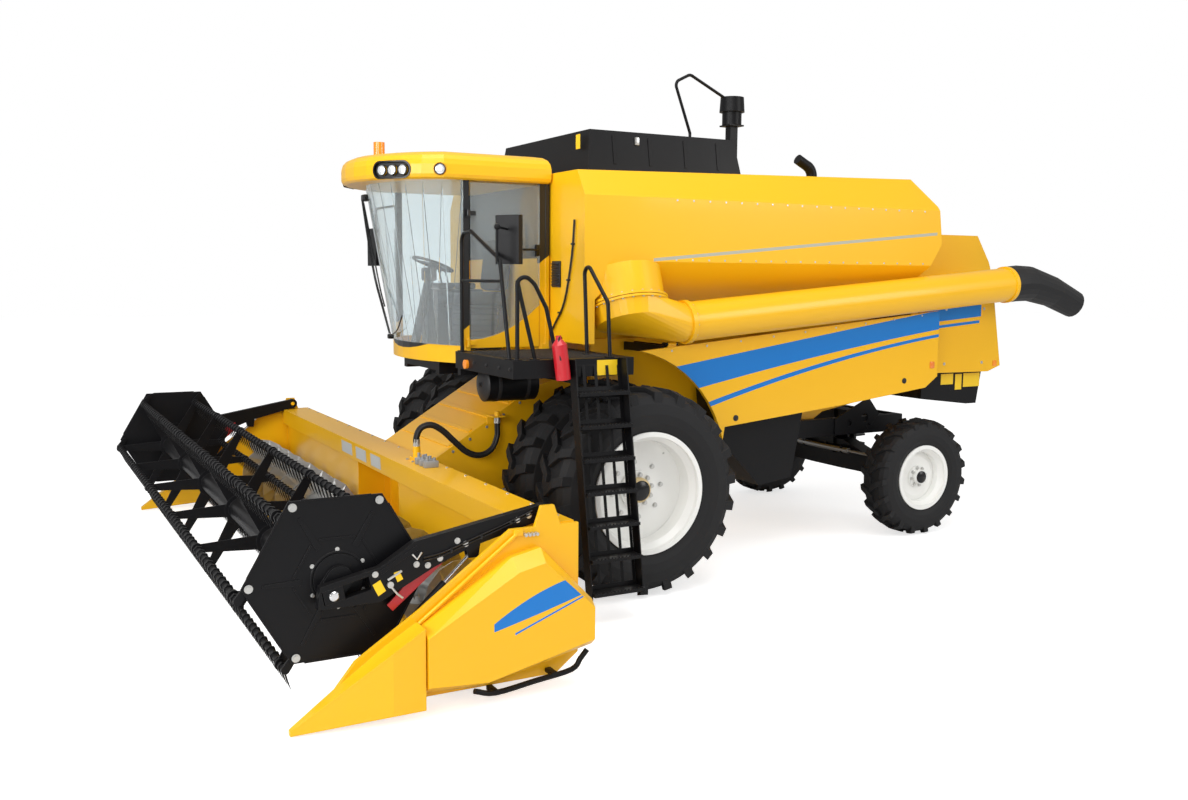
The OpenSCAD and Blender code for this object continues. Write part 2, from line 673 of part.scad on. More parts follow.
// Unloading auger
tube_x = tank_half + 40;
tube_start = [tube_x, 620, 2245];
tube_dir = [0, cos(tube_rise), sin(tube_rise)];
tube_end = tube_start + tube_dir * (tube_len - 500);
module ring_frame() {
    translate(tank_ring) rotate([0, -swing_tilt, 0]) children();
}

module auger_tube() {
    color("gold") on_machine() {
        rod(tube_start, tube_end, tube_d, 48);
        rod(tube_start - tube_dir * 22, tube_start + tube_dir * 22, tube_d + 36, 48);
        hull() {
            ring_frame() translate([0, 0, -pass_gap - 24]) cylinder(r = ring_r + 10, h = 12, $fn = 32);
            ring_frame() translate([0, 0, -160]) cylinder(r = ring_r - 20, h = 10, $fn = 32);
            rod(tube_start - tube_dir * 60, tube_start - tube_dir * 20, tube_d - 4, 32);
        }
        ring_frame() translate([0, 0, -pass_gap - 20]) cylinder(r = ring_r + 28, h = 20, $fn = 48);
        ring_frame() translate([0, 0, -20]) cylinder(r = ring_r - 60 - run_gap - 0.2, h = 180, $fn = 48);
        rod(tube_end - tube_dir * 40, tube_end, tube_d + 30, 48);
    }
}

// A round shell through stations, each [middle, radius along X, radius across, pitch of its axis]
ring_n = 20;
function hoop(c, rx, rz, a) = [for (j = [0:ring_n - 1]) let (t = 360 * j / ring_n)
    c + [-rx * cos(t), -rz * sin(t) * sin(a), rz * sin(t) * cos(a)]];
module shell_loft(stations, t) {
    n = ring_n;
    m = len(stations);
    pts = concat([for (q = stations) for (p = hoop(q[0], q[1], q[2], q[3])) p],
        [for (q = stations) for (p = hoop(q[0], q[1] - t, q[2] - t, q[3])) p]);
    o = m * n;
    polyhedron(pts, concat(
        [for (i = [0:m - 2]) for (j = [0:n - 1]) let (k = (j + 1) % n) for (f = [
            [i * n + j, (i + 1) * n + j, (i + 1) * n + k], [i * n + j, (i + 1) * n + k, i * n + k],
            [o + i * n + j, o + (i + 1) * n + k, o + (i + 1) * n + j], [o + i * n + j, o + i * n + k, o + (i + 1) * n + k]]) f],
        [for (j = [0:n - 1]) let (k = (j + 1) % n) for (f = [[j, k, o + k], [j, o + k, o + j]]) f],
        [for (j = [0:n - 1]) let (k = (j + 1) % n, e = (m - 1) * n) for (f = [[e + k, e + j, o + e + j], [e + k, o + e + j, o + e + k]]) f]));
}

module auger_spout() {
    e = tube_end + tube_dir * (seat + 0.2);
    r = tube_d / 2 + 14;
    l = spout_len;
    color("black") on_machine() shell_loft([[e, r, r, tube_rise], [e + tube_dir * 0.14 * l, r, r, tube_rise],
        [e + [0, 0.3 * l, 0.01 * l], r * 0.97, r * 0.97, -3], [e + [0, 0.65 * l, -0.07 * l], r * 0.86, r * 0.86, -14],
        [e + [0, l, -0.2 * l], r * 0.7, r * 0.78, -22]], 12);
}

// Cab
// Plan of the cab at one height: the front is an arc between the corner posts
function arc_front(half, corner, nose, n = 12) = let (s = corner - nose, r = (half * half + s * s) / (2 * s), a = asin(half / r))
    [for (i = [0:n]) let (b = -a + 2 * a * i / n) [r * sin(b), nose + r - r * cos(b)]];
function cab_plan(half, rear, corner, nose) = concat([[half, rear], [-half, rear]], arc_front(half, corner, nose));

door_hinges = [2064, 3150];
module cab_shell() {
    color("gold") on_machine() difference() {
        union() {
            slab_z(cab_plan(cab_half, cab_rear, post_y, screen_foot), floor_z, floor_z + 60);
            difference() {
                slab_z(cab_plan(cab_half, cab_rear, post_y, screen_foot), floor_z + 59, floor_z + 150);
                slab_z(cab_plan(cab_half - 30, cab_rear - 30, post_y - 5, screen_foot + 30), floor_z + 50, floor_z + 160);
                block([0, post_y + 45, floor_z + 60], [1000, -440, floor_z + 200]);
            }
            block([-cab_half, cab_rear - 35, floor_z + 59], [cab_half, cab_rear, ceil_z - seat]);
        }
    }
    color("black") on_machine() difference() {
        union() {
            both() {
                block([cab_half - post_w, post_y - 22 + glass_t + seat, floor_z + 50], [cab_half - 8, post_y + 40, ceil_z - seat]);
                block([cab_half - post_w, cab_rear - 90, floor_z + 50], [cab_half - 8, cab_rear - 20, ceil_z - seat]);
            }
        }
    }
    color("black") on_machine() for (z = door_hinges)
        rod([cab_half + 14, post_y + 24, z - 30], [cab_half + 14, post_y + 24, z + 30], 14);
    color("black") on_machine() for (z = door_hinges) for (s = [-34, 24])
        block([cab_half - 10, post_y + 12, z + s], [cab_half + 24, post_y + 36, z + s + 10]);
}

// The roof's front is one arc: a frame on it, square to the sheet, at an angle from straight ahead
roof_lamp_z = 77;
module on_roof_face(a) {
    half = cab_half + roof_out;
    deep = post_y - 200 - roof_nose;
    r = (half * half + deep * deep) / (2 * deep);
    translate([r * sin(a), roof_nose + r - r * cos(a), ceil_z + roof_lamp_z]) rotate([90, 0, a]) children();
}

// A pocket with round ends, cut square to the sheet
module lamp_slot(h, half, deep) {
    translate([0, 0, -deep]) linear_extrude(deep + 200) {
        square([2 * half, h], center = true);
        for (x = [-half, half]) translate([x, 0]) circle(d = h, $fn = 40);
    }
}

module cab_roof() {
    h = cab_half + roof_out;
    // height of each layer as a share of the shell, with its inset
    layers = [[0, 34], [0.06, 10], [0.17, 0], [0.5, 0], [0.68, 12], [0.82, 40], [0.93, 96], [1, 200]];
    color("gold") on_machine() {
        difference() {
            hull() for (q = layers)
                slab_z(cab_plan(h - q[1], cab_rear - q[1] * 0.4, post_y - 200 + q[1] * 0.4, roof_nose + q[1] * 1.1),
                    ceil_z + q[0] * (roof_h - 1), ceil_z + q[0] * (roof_h - 1) + 1);
            for (k = [-1, 1]) on_roof_face(k * 36) lamp_slot(128, 115, 46);
            for (k = [-1, 1]) on_roof_face(k * 60) translate([0, 0, -28]) cylinder(d = 104, h = 200, $fn = 40);
        }
        for (k = [-1, 1]) on_roof_face(k * 36) for (x = [-104, 0, 104])
            translate([x, 0, -48]) cylinder(d = 84, h = 26, $fn = 32);
        for (k = [-1, 1]) on_roof_face(k * 60) translate([0, 0, -30]) cylinder(d = 84, h = 22, $fn = 32);
    }
}

module windscreen() {
    n = 12;
    lo = arc_front(cab_half - 4, post_y - 22, screen_foot - 2, n);
    li = arc_front(cab_half - 4, post_y - 22 + glass_t, screen_foot - 2 + glass_t, n);
    hi = arc_front(cab_half - 4, post_y - 22, screen_head, n);
    hj = arc_front(cab_half - 4, post_y - 22 + glass_t, screen_head + glass_t, n);
    z0 = floor_z + 150 + seat;
    z1 = ceil_z - seat;
    m = n + 1;
    pts = concat([for (p = lo) [p.x, p.y, z0]], [for (p = li) [p.x, p.y, z0]],
        [for (p = hi) [p.x, p.y, z1]], [for (p = hj) [p.x, p.y, z1]]);
    polyhedron(pts, concat(
        [for (i = [0:n - 1]) [2 * m + i + 1, i + 1, i]], [for (i = [0:n - 1]) [2 * m + i, 2 * m + i + 1, i]],
        [for (i = [0:n - 1]) [m + i + 1, 3 * m + i + 1, m + i]], [for (i = [0:n - 1]) [3 * m + i + 1, 3 * m + i, m + i]],
        [for (i = [0:n - 1]) [i + 1, m + i + 1, m + i, i]], [for (i = [0:n - 1]) [3 * m + i, 3 * m + i + 1, 2 * m + i + 1, 2 * m + i]],
        [[m, 3 * m, 2 * m, 0]], [[2 * m + n, 3 * m + n, m + n, n]]));
}

module cab_glass() {
    color("lightblue", 0.4) on_machine() {
        windscreen();
        block([-cab_half, post_y + 42, floor_z + 151], [-cab_half + glass_t, cab_rear - 92, ceil_z - seat]);
    }
}

door_front = post_y + 50;
door_rear = cab_rear - 95;
function door_sill(y) = 2090 + 290 * pow((y - door_front) / (door_rear - door_front), 2);
module door_panel() {
    n = 6;
    color("gold") on_machine() {
        slab_x(concat([[door_front, door_z], [door_rear, door_z]],
            [for (i = [0:n]) let (y = door_rear + (door_front - door_rear) * i / n) [y, door_sill(y)]]), cab_half - 34, cab_half - 4);
        for (z = door_hinges) difference() {
            union() {
                rod([cab_half + 14, post_y + 24, z - 22], [cab_half + 14, post_y + 24, z + 22], 26);
                block([cab_half - 3.8, post_y + 24, z - 18], [cab_half + 18, door_front + 40, z + 18]);
            }
            rod([cab_half + 14, post_y + 24, z - 40], [cab_half + 14, post_y + 24, z + 40], 14 + 2 * run_gap);
        }
    }
}

module door_glass() {
    n = 6;
    color("lightblue", 0.4) on_machine()
        slab_x(concat([[door_front, ceil_z - 15], [door_rear, ceil_z - 15]],
            [for (i = [0:n]) let (y = door_rear + (door_front - door_rear) * i / n) [y, door_sill(y) + seat]]),
            cab_half - 4 - glass_t, cab_half - 4);
}

module cab_interior() {
    color("dimgray") on_machine() {
        // seat on its box, backrest and head cushion
        block([-230, -900, floor_z + 60 + seat], [230, -500, floor_z + 380]);
        block([-260, -980, floor_z + 380.3], [260, -480, floor_z + 500]);
        slab_x([[-560, floor_z + 500.3], [-480, floor_z + 1080], [-420, floor_z + 1080], [-450, floor_z + 500.3]], -240, 240);
        // steering column and wheel
        rod([0, -1290, floor_z + 74], [0, -1120, floor_z + 780], 90);
        block([-70, -1345, floor_z + 60 + seat], [70, -1225, floor_z + 90]);
        translate([0, -1105, floor_z + 840]) rotate([-20, 0, 0]) rotate_extrude($fn = 40) translate([180, 0]) circle(d = 30, $fn = 16);
        translate([0, -1105, floor_z + 840]) rotate([-20, 0, 0]) for (a = [90, 210, 330])
            rotate([0, 0, a]) rotate([0, 90, 0]) cylinder(d = 22, h = 182, $fn = 16);
        translate([0, -1105, floor_z + 840]) rotate([-20, 0, 0]) translate([0, 0, -80]) cylinder(d = 70, h = 100, $fn = 24);
        // control console beside the seat
        block([-480, -1050, floor_z + 60 + seat], [-300, -480, floor_z + 620]);
    }
}

module lamps() {
    color("orange") on_machine() {
        translate([-300, -1500, ceil_z + roof_h + seat]) cylinder(d = 110, h = 30, $fn = 32);
        translate([-300, -1500, ceil_z + roof_h + 30]) cylinder(d = 100, h = 130, $fn = 32);
        translate([deck_out - 900, deck_front - 25, deck_z - 90]) rotate([-90, 0, 0]) cylinder(d = 75, h = 25 - seat, $fn = 32);
    }
}

// Mirrors on the front handrail and on the right-hand corner post
module mirrors() {
    stalk_y = deck_front + 40 - rail_d / 2 - 10 - seat;
    color("dimgray") on_machine() {
        translate([1650, deck_front + 153, 2912]) rotate([0, 0, 35]) block([-105, -30, -190], [105, 30, 190]);
        rod([1735, stalk_y, 2740], [1735, stalk_y, 3010], 20);
        translate([1735, stalk_y, 3005]) sphere(d = 50, $fn = 24);
        rod([1735, stalk_y, 3005], [1660, deck_front + 140, 2990], 18);
        block([-1700, post_y - 38, 2720], [-1420, post_y + 4, 3100]);
        pipe([[-cab_half + 8 - seat, post_y + 12, 3300], [-1560, post_y + 12, 3300], [-1560, post_y + 12, 2740]], 24, 60);
    }
}

// Platform and ladder
module platform() {
    color("black") on_machine() {
        block([900, deck_front, deck_z - 40], [deck_out, -200, deck_z]);
        block([900, deck_front, deck_z - 140], [deck_out, deck_front + 12, deck_z - 39]);
        block([deck_out - 12, deck_front, deck_z - 140], [deck_out, -200, deck_z - 39]);
        block([900.3, -700, 1800], [deck_out - 11, -620, deck_z - 39]);
        block([900, deck_front + 20, 1800], [960, -200, deck_z - 39]);
        // air reservoir under the platform
        translate([1050, -1060, 1725]) rotate([-90, 0, 0]) cylinder(d = 290, h = 450, $fn = 40);
        for (y = [-1000, -700]) block([1030, y, 1850], [1070, y + 30, deck_z - 39]);
    }
}

ladder_top_x = deck_out + 2;
treads = 7;
function ladder_x(z) = ladder_top_x + 40 + ladder_out * (deck_z - z) / (deck_z - ladder_foot);
module ladder() {
    y0 = ladder_y;
    y1 = ladder_y + ladder_w;
    color("black") on_machine() {
        for (y = [y0, y1 - 10])
            slab_y([[ladder_top_x - 2 + seat, deck_z], [ladder_x(deck_z) + 60, deck_z], [ladder_x(ladder_foot) + 60, ladder_foot - 50],
                [ladder_x(ladder_foot) - 40, ladder_foot - 50], [ladder_x(deck_z - 160) - 50, deck_z - 160], [ladder_top_x - 2 + seat, deck_z - 120]],
                y, y + 10);
        for (i = [0:treads - 1]) {
            z = ladder_foot + i * (deck_z - ladder_foot) / treads;
            block([ladder_x(z) - 60, y0 + 9, z - 25], [ladder_x(z) + 90, y1 - 9, z]);
        }
    }
}

// A bolted foot of a handrail
module rail_foot(x, y) {
    translate([x, y, deck_z + seat]) cylinder(d = 80, h = 8, $fn = 24);
}

module handrails() {
    z0 = deck_z + seat + 4;
    ry = deck_front + 40;
    color("black") on_machine() {
        pipe([[950, ry, z0], [950, ry, 2980], [1150, ry, 2990], [1730, ry, 2755], [1905, ry, z0]], rail_d, 90);
        rod([950, ry, 2590], [1770, ry, 2590], rail_d * 0.8);
        pipe([[2005, ry + 20, z0], [2005, ry + 20, 2700], [2015, ry + 160, 2570], [2020, ry + 255, 2392], [2025, ry + 345, z0]], rail_d, 60);
        pipe([[2005, ry + 20, 2600], [2010, ry + 45, 2480], [2020, ry + 160, z0]], rail_d, 60);
        pipe([[1650, -400, z0], [1590, -400, 2790], [1990, -400, 2430], [2030, -400, z0]], rail_d, 60);
        for (p = [[950, ry], [1905, ry], [2005, ry + 20], [2025, ry + 345], [2020, ry + 160], [1650, -400], [2030 - 12, -400]])
            rail_foot(min(p.x, deck_out - 42), p.y);
    }
}

module extinguisher() {
    color("red") on_machine() {
        translate([deck_out + 58 + seat, -855, deck_z - 150]) rotate([8, 0, 0]) {
            cylinder(d = 116, h = 270, $fn = 32);
            translate([0, 0, 270]) cylinder(d1 = 116, d2 = 50, h = 40, $fn = 32);
            translate([0, 0, 309]) cylinder(d = 44, h = 30, $fn = 24);
        }
    }
}

// Feeder house
eye_y = -1000;
eye_z = 470;
module feeder_house() {
    f = feeder_front;
    color("gold") on_machine() {
        difference() {
            slab_x(concat([[f, 280], [f, 1020], [-400, 1640]],
                [for (a = [110:-20:-90]) [lift_y + feeder_r * cos(a), lift_z + feeder_r * sin(a)]], [[lift_y, 1180]]),
                -feeder_half, feeder_half);
            slab_x([[f - 10, 320], [f - 10, 985], [f + 60, 985], [f + 60, 330]], -feeder_half + 60, feeder_half - 60);
        }
        // stiffening ribs across the top sheet
        for (i = [0:4]) translate([0, -1200 + i * 190, 1131 + i * 118]) rotate([31.8, 0, 0])
            block([-feeder_half + 40, 0, -6], [feeder_half - 40, 40, 22]);
        axle_pin(lift_y, lift_z, 60, -rail_x - 60, rail_x + 60);
        // bracket that the hoses end at
        e = hose_route[len(hose_route) - 1];
        block([feeder_half - 1, e.y - 60, e.z - 70], [feeder_half + 8, e.y + 60, e.z + 12]);
        block([feeder_half - 1, e.y - 60, e.z + seat], [e.x + 50, e.y + 60, e.z + 12]);
        translate([e.x, e.y, e.z + 11]) cylinder(d = 44, h = 40, $fn = 32);
        both() for (x = [450 - 45, 450 + 30])
            slab_x([[eye_y - 90, 420], [eye_y + 60, 420], [eye_y + 110, 640], [eye_y - 90, 520]], x, x + 15);
    }
}

// Hydraulic hoses, looped from the couplers on the header's beam to a bracket on the feeder
hose_route = [[730, -1540, 1190], [730, -1540, 1270], [734, -1500, 1345], [740, -1410, 1365], [746, -1310, 1310],
    [752, -1200, 1205], [756, -1090, 1110], [756, -970, 1075], [752, -860, 1120], [744, -805, 1225], [740, -800, 1320],
    [740, -800, 1400]];
module swept_tube(p, d, n = 10) {
    m = len(p);
    pts = [for (i = [0:m - 1]) let (z = unit(p[min(i + 1, m - 1)] - p[max(i - 1, 0)]), x = unit([1, 0, 0] - z * z.x), y = cross(z, x))
        for (j = [0:n - 1]) p[i] + (x * cos(360 * j / n) + y * sin(360 * j / n)) * d / 2];
    sides = [for (i = [0:m - 2]) for (j = [0:n - 1]) let (a = i * n + j, b = i * n + (j + 1) % n)
        for (f = [[a, a + n, b + n], [a, b + n, b]]) f];
    polyhedron(pts, concat([[for (j = [0:n - 1]) j]], sides, [[for (j = [n - 1:-1:0]) (m - 1) * n + j]]));
}

module feeder_hoses() {
    color("black") on_machine() swept_tube(hose_route, hose_d);
}

// Lift cylinders of the feeder, opened at the rod's eye
base_y = -120;
base_z = 660;
lift_dir = unit([0, eye_y - base_y, eye_z - base_z]);
lift_span = norm([eye_y - base_y, eye_z - base_z]);
module lift_barrels() {
    b = [450, base_y, base_z];
    color("black") on_machine() both() difference() {
        union() {
            axle_pin(base_y, base_z, 90, 450 - 25, 450 + 25);
            rod(b + lift_dir * 30, b + lift_dir * 560, 100, 40);
            axle_pin(base_y, base_z, 40, 450 - 75, 450 + 75);
        }
        rod(b + lift_dir * 120, b + lift_dir * 570, 60 + 2 * run_gap, 40);
    }
}

module lift_rods() {
    b = [450, base_y, base_z];
    color("silver") on_machine() both() {
        rod(b + lift_dir * 140, b + lift_dir * (lift_span - 30), 60, 40);
        axle_pin(eye_y, eye_z, 90, 450 - 24, 450 + 24);
    }
}

// Header
trough_r = screw_r + 25;
mouth_half = feeder_half - 60;
mouth_sill = 300;
function trough_arc(r, a0, a1) = [for (i = [0:10]) let (a = a0 + (a1 - a0) * i / 10) [screw_y + r * cos(a), screw_z + r * sin(a)]];
module trough_sheet(a1, x0, x1) {
    slab_x(concat(trough_arc(trough_r, -90, a1), trough_arc(trough_r + sheet_t, a1, -90)), x0, x1);
}

module header_frame() {
    floor_top = screw_z - trough_r;
    back = screw_y + trough_r;
    top = 900;
    sill_a = asin((mouth_sill - screw_z) / trough_r);
    color("gold") on_machine() {
        // floor, curved trough and back sheets, with the mouth to the feeder left open
        block([-table_half, knife_y, floor_top - sheet_t], [table_half, screw_y - seat, floor_top]);
        trough_sheet(sill_a, -mouth_half + seat, mouth_half - seat);
        both() {
            trough_sheet(0, mouth_half, table_half);
            block([mouth_half, back, screw_z + seat], [table_half, back + sheet_t, top - seat]);
        }
        // couplers that the hoses start from
        g = hose_route[0];
        block([g.x - 60, g.y - 40, beam_z - 1], [g.x + 60, g.y + 40, beam_z + 30]);
        translate([g.x, g.y, beam_z + 29]) cylinder(d = hose_d + 8, h = g.z - seat - beam_z - 29, $fn = 32);
        difference() {
            slab_x([[back - 60, top], [back - 70, beam_z], [-1420, beam_z], [-1420, top]], -table_half, table_half);
            both() block([arm_x - pass_gap - 4, back - 80, 1035], [table_half + 1, arm_y + 30, beam_z + 1]);
        }
        // lower beam with the sill under the feeder's mouth
        block([-table_half, -1560, 180], [table_half, -1460, 290]);
        block([-feeder_half - 40, back + sheet_t + 1, 200], [feeder_half + 40, feeder_front - seat, 290]);
        // posts between the beams and beside the mouth
        for (x = [-2600, -1500, 1450, 2550]) block([x, -1560, 290 + seat], [x + 60, -1460, top - seat]);
        both() block([mouth_half, back + sheet_t + seat, 290 + seat], [feeder_half + 40, feeder_front - seat, top - seat]);
        // skids that the table rests on
        for (x = [-2300, -900, 840, 2240])
            slab_x([[-2250, floor_top - sheet_t - seat], [-1990, floor_top - sheet_t - seat], [-1800, floor_top - sheet_t - 20],
                [-1760, 30], [-1850, 0], [-2150, 0], [-2280, 60]], x, x + 60);
    }
}

// End sheets, dividers and end shields
module header_ends() {
    x0 = table_half + seat;
    x1 = x0 + end_t;
    color("gold") on_machine() both() {
        difference() {
            slab_x([[-1400, 200], [-1400, 1060], [arm_y + 90, 1060], [arm_y + 45, arm_z + 55], [arm_y - 45, arm_z + 55], [arm_y - 90, 1060],
                [-1880, 1060], [-2490, 620], [-2880, 370], [-3010, 210], [-2950, 80], [-1560, 80]], x0, x1);
            axle_pin(screw_y, screw_z, screw_shaft_d + 2 * run_gap, x0 - 1, x0 + 26);
        }
        axle_pin(arm_y, arm_z, 40, arm_x - 8, x1 - 1);
        axle_pin(reel_base.y, reel_base.z, 30, reel_base.x - 28, x1 - 1);
        // pointed divider ahead of the end sheet
        hull() {
            slab_x([[-2500, 60], [-2500, 560], [-2700, 440], [-2700, 60]], x0 + 2, x1 + shield_w - 20);
            slab_x([[-3270, 10], [-3270, 40], [-3280, 40], [-3280, 10]], x0 + 40, x0 + 80);
        }
        // end shield
        hull() {
            slab_x([[-1330, 260], [-1330, 560], [-1700, 940], [-1900, 900], [-2490, 540], [-2490, 130], [-2100, 110]], x1 - 1, x1 + 60);
            slab_x([[-1370, 330], [-1370, 540], [-1720, 870], [-1900, 830], [-2490, 500], [-2490, 200], [-2100, 170]],
                x1 + shield_w - 20, x1 + shield_w);
        }
    }
}

guard_pitch = 76.2;
module cutterbar() {
    n = floor((2 * table_half - 40) / guard_pitch / 2);
    y0 = knife_y - seat;
    z = screw_z - trough_r - sheet_t;
    comb = concat([[table_half - 5, y0], [-table_half + 5, y0], [-table_half + 5, y0 - 50]],
        [for (i = [-n:n]) for (p = [[-14, -50], [-5, -125], [5, -125], [14, -50]]) [i * guard_pitch + p.x, y0 + p.y]],
        [[table_half - 5, y0 - 50]]);
    color("dimgray") on_machine() slab_z(comb, z, z + sheet_t);
}

// Table auger: a tube with a left-hand and a right-hand flight that meet at the feeder
flight_n = 16;
module flight(x0, x1, hand) {
    turns = (x1 - x0) / screw_pitch;
    n = ceil(turns * flight_n);
    ri = core_r / cos(180 / flight_n) + 0.5;
    pts = [for (i = [0:n]) let (a = hand * 360 * turns * i / n, x = x0 + (x1 - x0) * i / n)
        for (q = [[ri, -4], [screw_r, -3], [screw_r, 3], [ri, 4]]) [x + q[1], q[0] * cos(a), q[0] * sin(a)]];
    quads = [for (i = [0:n - 1]) for (k = [0:3]) [i * 4 + k, i * 4 + (k + 1) % 4, (i + 1) * 4 + (k + 1) % 4, (i + 1) * 4 + k]];
    tris = [for (q = quads) for (t = [[q[0], q[1], q[2]], [q[0], q[2], q[3]]]) t];
    translate([0, screw_y, screw_z])
        polyhedron(pts, concat([[3, 2, 1, 0]], tris, [[n * 4, n * 4 + 1, n * 4 + 2, n * 4 + 3]]));
}

module table_auger() {
    color("silver") on_machine() {
        axle_pin(screw_y, screw_z, 2 * core_r, -table_half + 25, table_half - 25, 48);
        axle_pin(screw_y, screw_z, screw_shaft_d, -table_half - 22, table_half + 22);
        flight(560, table_half - 40, 1);
        mirror([1, 0, 0]) flight(560, table_half - 40, 1);
        // retracting fingers between the flights
        for (i = [0:5]) translate([-400 + 160 * i, screw_y, screw_z]) rotate([i * 60, 0, 0])
            cylinder(d = 16, h = screw_r - 10, $fn = 16);
    }
}

// Reel
bar_half = table_half - reel_room;
plate_y = reel_y + crank_y;
plate_z = reel_z + crank_z;
plate_x = bar_half + 30;
hub_r = 150;
arm_x = plate_x + plate_t + 50;
arm_dir = unit([0, reel_y + 2600, reel_z - 850]);
carry = [0, reel_y, reel_z];
function bar_at(k) = [0, reel_y + bar_ring * cos(60 * k), reel_z + bar_ring * sin(60 * k)];
reel_base = [arm_x + arm_t / 2, -2520, 520];
reel_eye = [arm_x + arm_t / 2, -2100, 920];
reel_dir = unit(reel_eye - reel_base);

// Arms of the reel, each a box beam that bends down towards the shaft
module reel_arms() {
    color("black") on_machine() both() difference() {
        union() {
            slab_x([[arm_y, arm_z - 50], [arm_y, arm_z + 50], [-2480, 1035], [-2700, 900], [-3060, 825], [-3075, 690],
                [-2700, 690], [-2360, 862], [-2110, 962]], arm_x, arm_x + arm_t);
            axle_pin(arm_y, arm_z, 104, arm_x, arm_x + arm_t, 40);
            for (x = [arm_x, arm_x + arm_t - 10])
                slab_x([[reel_eye.y - 50, 970], [reel_eye.y + 50, 1000], [reel_eye.y + 32, reel_eye.z - 28],
                    [reel_eye.y - 32, reel_eye.z - 28]], x, x + 10);
        }
        axle_pin(arm_y, arm_z, 40 + 2 * run_gap, arm_x - 10, arm_x + arm_t + 10);
        // guide that the carrier slides in
        translate([0, reel_y, reel_z]) multmatrix(place([0, 0, 0], [1, 0, 0], arm_dir, cross([1, 0, 0], arm_dir)))
            block([arm_x - 10, -225, -42], [arm_x + arm_t + 10, 66, 42]);
    }
}

// Red props that hold the raised reel, parked under the arms
module reel_props() {
    color("red") on_machine() both()
        slab_x([[-2270, 950], [-2330, 940], [-2640, 645], [-2605, 605], [-2280, 865]], arm_x - 10 - seat, arm_x - seat);
}

// Carriers hold the shaft's bearings and the off-centre hubs of the end plates
module reel_carriers() {
    color("black") on_machine() both() difference() {
        union() {
            axle_pin(plate_y, plate_z, 2 * (hub_r - seat), plate_x - 4, plate_x + plate_t + 14, 64);
            hull() {
                axle_pin(plate_y, plate_z, 160, plate_x + plate_t + 13, plate_x + plate_t + 44, 32);
                axle_pin(reel_y, reel_z, 150, plate_x + plate_t + 13, plate_x + plate_t + 44, 32);
            }
            translate([0, reel_y, reel_z]) multmatrix(place([0, 0, 0], [1, 0, 0], arm_dir, cross([1, 0, 0], arm_dir)))
                block([plate_x + plate_t + 30, -62, -42 + seat], [arm_x + arm_t, 60, 42 - seat]);
        }
        axle_pin(reel_y, reel_z, 50 + 2 * run_gap, plate_x - 20, arm_x + arm_t + 10);
    }
}

module spider(x) {
    difference() {
        union() {
            axle_pin(reel_y, reel_z, reel_d + 60, x - 5, x + 5, 48);
            for (k = [0:5]) {
                translate([0, reel_y, reel_z]) rotate([60 * k, 0, 0])
                    slab_x([[60, -55], [bar_ring, -bar_d * 0.7], [bar_ring, bar_d * 0.7], [60, 55]], x - 4, x + 4);
                axle_pin(bar_at(k).y, bar_at(k).z, bar_d * 1.9, x - 10, x + 10, 24);
            }
        }
        for (k = [0:5]) axle_pin(bar_at(k).y, bar_at(k).z, bar_d + 2 * seat, x - 20, x + 20, 24);
    }
}

spider_pitch = (bar_half - 105) / 2.5;
module reel_core() {
    color("black") on_machine() {
        axle_pin(reel_y, reel_z, reel_d, -bar_half + 10, bar_half - 10, 48);
        axle_pin(reel_y, reel_z, 50, pass_gap - arm_x, arm_x - pass_gap);
        // each spider sits midway between two clips of the tine bars
        for (i = [-2.5:1:2.5]) spider(round(i * spider_pitch / tine_pitch) * tine_pitch);
    }
}

// Hexagonal end plates that turn on the off-centre hubs and keep the tines upright
module reel_plates() {
    color("black") on_machine() both() difference() {
        union() {
            translate([plate_x, plate_y, plate_z]) rotate([0, 90, 0]) rotate([0, 0, 90]) cylinder(r = plate_r, h = plate_t, $fn = 6);
            for (k = [0:5]) axle_pin(bar_at(k).y + crank_y, bar_at(k).z + crank_z, 50, plate_x, plate_x + plate_t + 8, 24);
        }
        axle_pin(plate_y, plate_z, 2 * hub_r, plate_x - 10, plate_x + 40, 64);
        for (k = [0:5]) axle_pin(bar_at(k).y + crank_y, bar_at(k).z + crank_z, 20 + 2 * seat, plate_x - 10, plate_x + 40, 24);
    }
}

// One tine bar with its end cranks
module tine_bar(k) {
    p = bar_at(k);
    q = p + [0, crank_y, crank_z];
    color("black") on_machine() {
        axle_pin(p.y, p.z, bar_d, -bar_half, bar_half);
        both() {
            hull() {
                axle_pin(p.y, p.z, 52, bar_half - 1, bar_half + 18, 24);
                axle_pin(q.y, q.z, 40, bar_half - 1, bar_half + 18, 24);
            }
            axle_pin(q.y, q.z, 20, bar_half, plate_x + plate_t + 6, 24);
        }
        // a clip and a bent tine at each pitch
        n = floor((bar_half - 40) / tine_pitch - 0.5);
        for (i = [-n - 0.5:1:n + 0.5]) translate([i * tine_pitch, p.y, p.z]) rotate([tine_lean, 0, 0]) {
            rotate([0, 90, 0]) translate([0, 0, -12]) cylinder(d = bar_d + 26, h = 24, $fn = 6);
            slab_x([[-5, 0], [-5, -tine_len * 0.6], [6, -tine_len], [5, -tine_len * 0.6], [5, 0]], -4, 4);
        }
    }
}

module reel_barrels() {
    color("black") on_machine() both() difference() {
        union() {
            axle_pin(reel_base.y, reel_base.z, 60, reel_base.x - 22, reel_base.x + 22);
            rod(reel_base + reel_dir * 20, reel_base + reel_dir * 330, 50, 32);
        }
        axle_pin(reel_base.y, reel_base.z, 30 + 2 * run_gap, reel_base.x - 40, reel_base.x + 40);
        rod(reel_base + reel_dir * 60, reel_base + reel_dir * 340, 26 + 2 * run_gap, 32);
    }
}

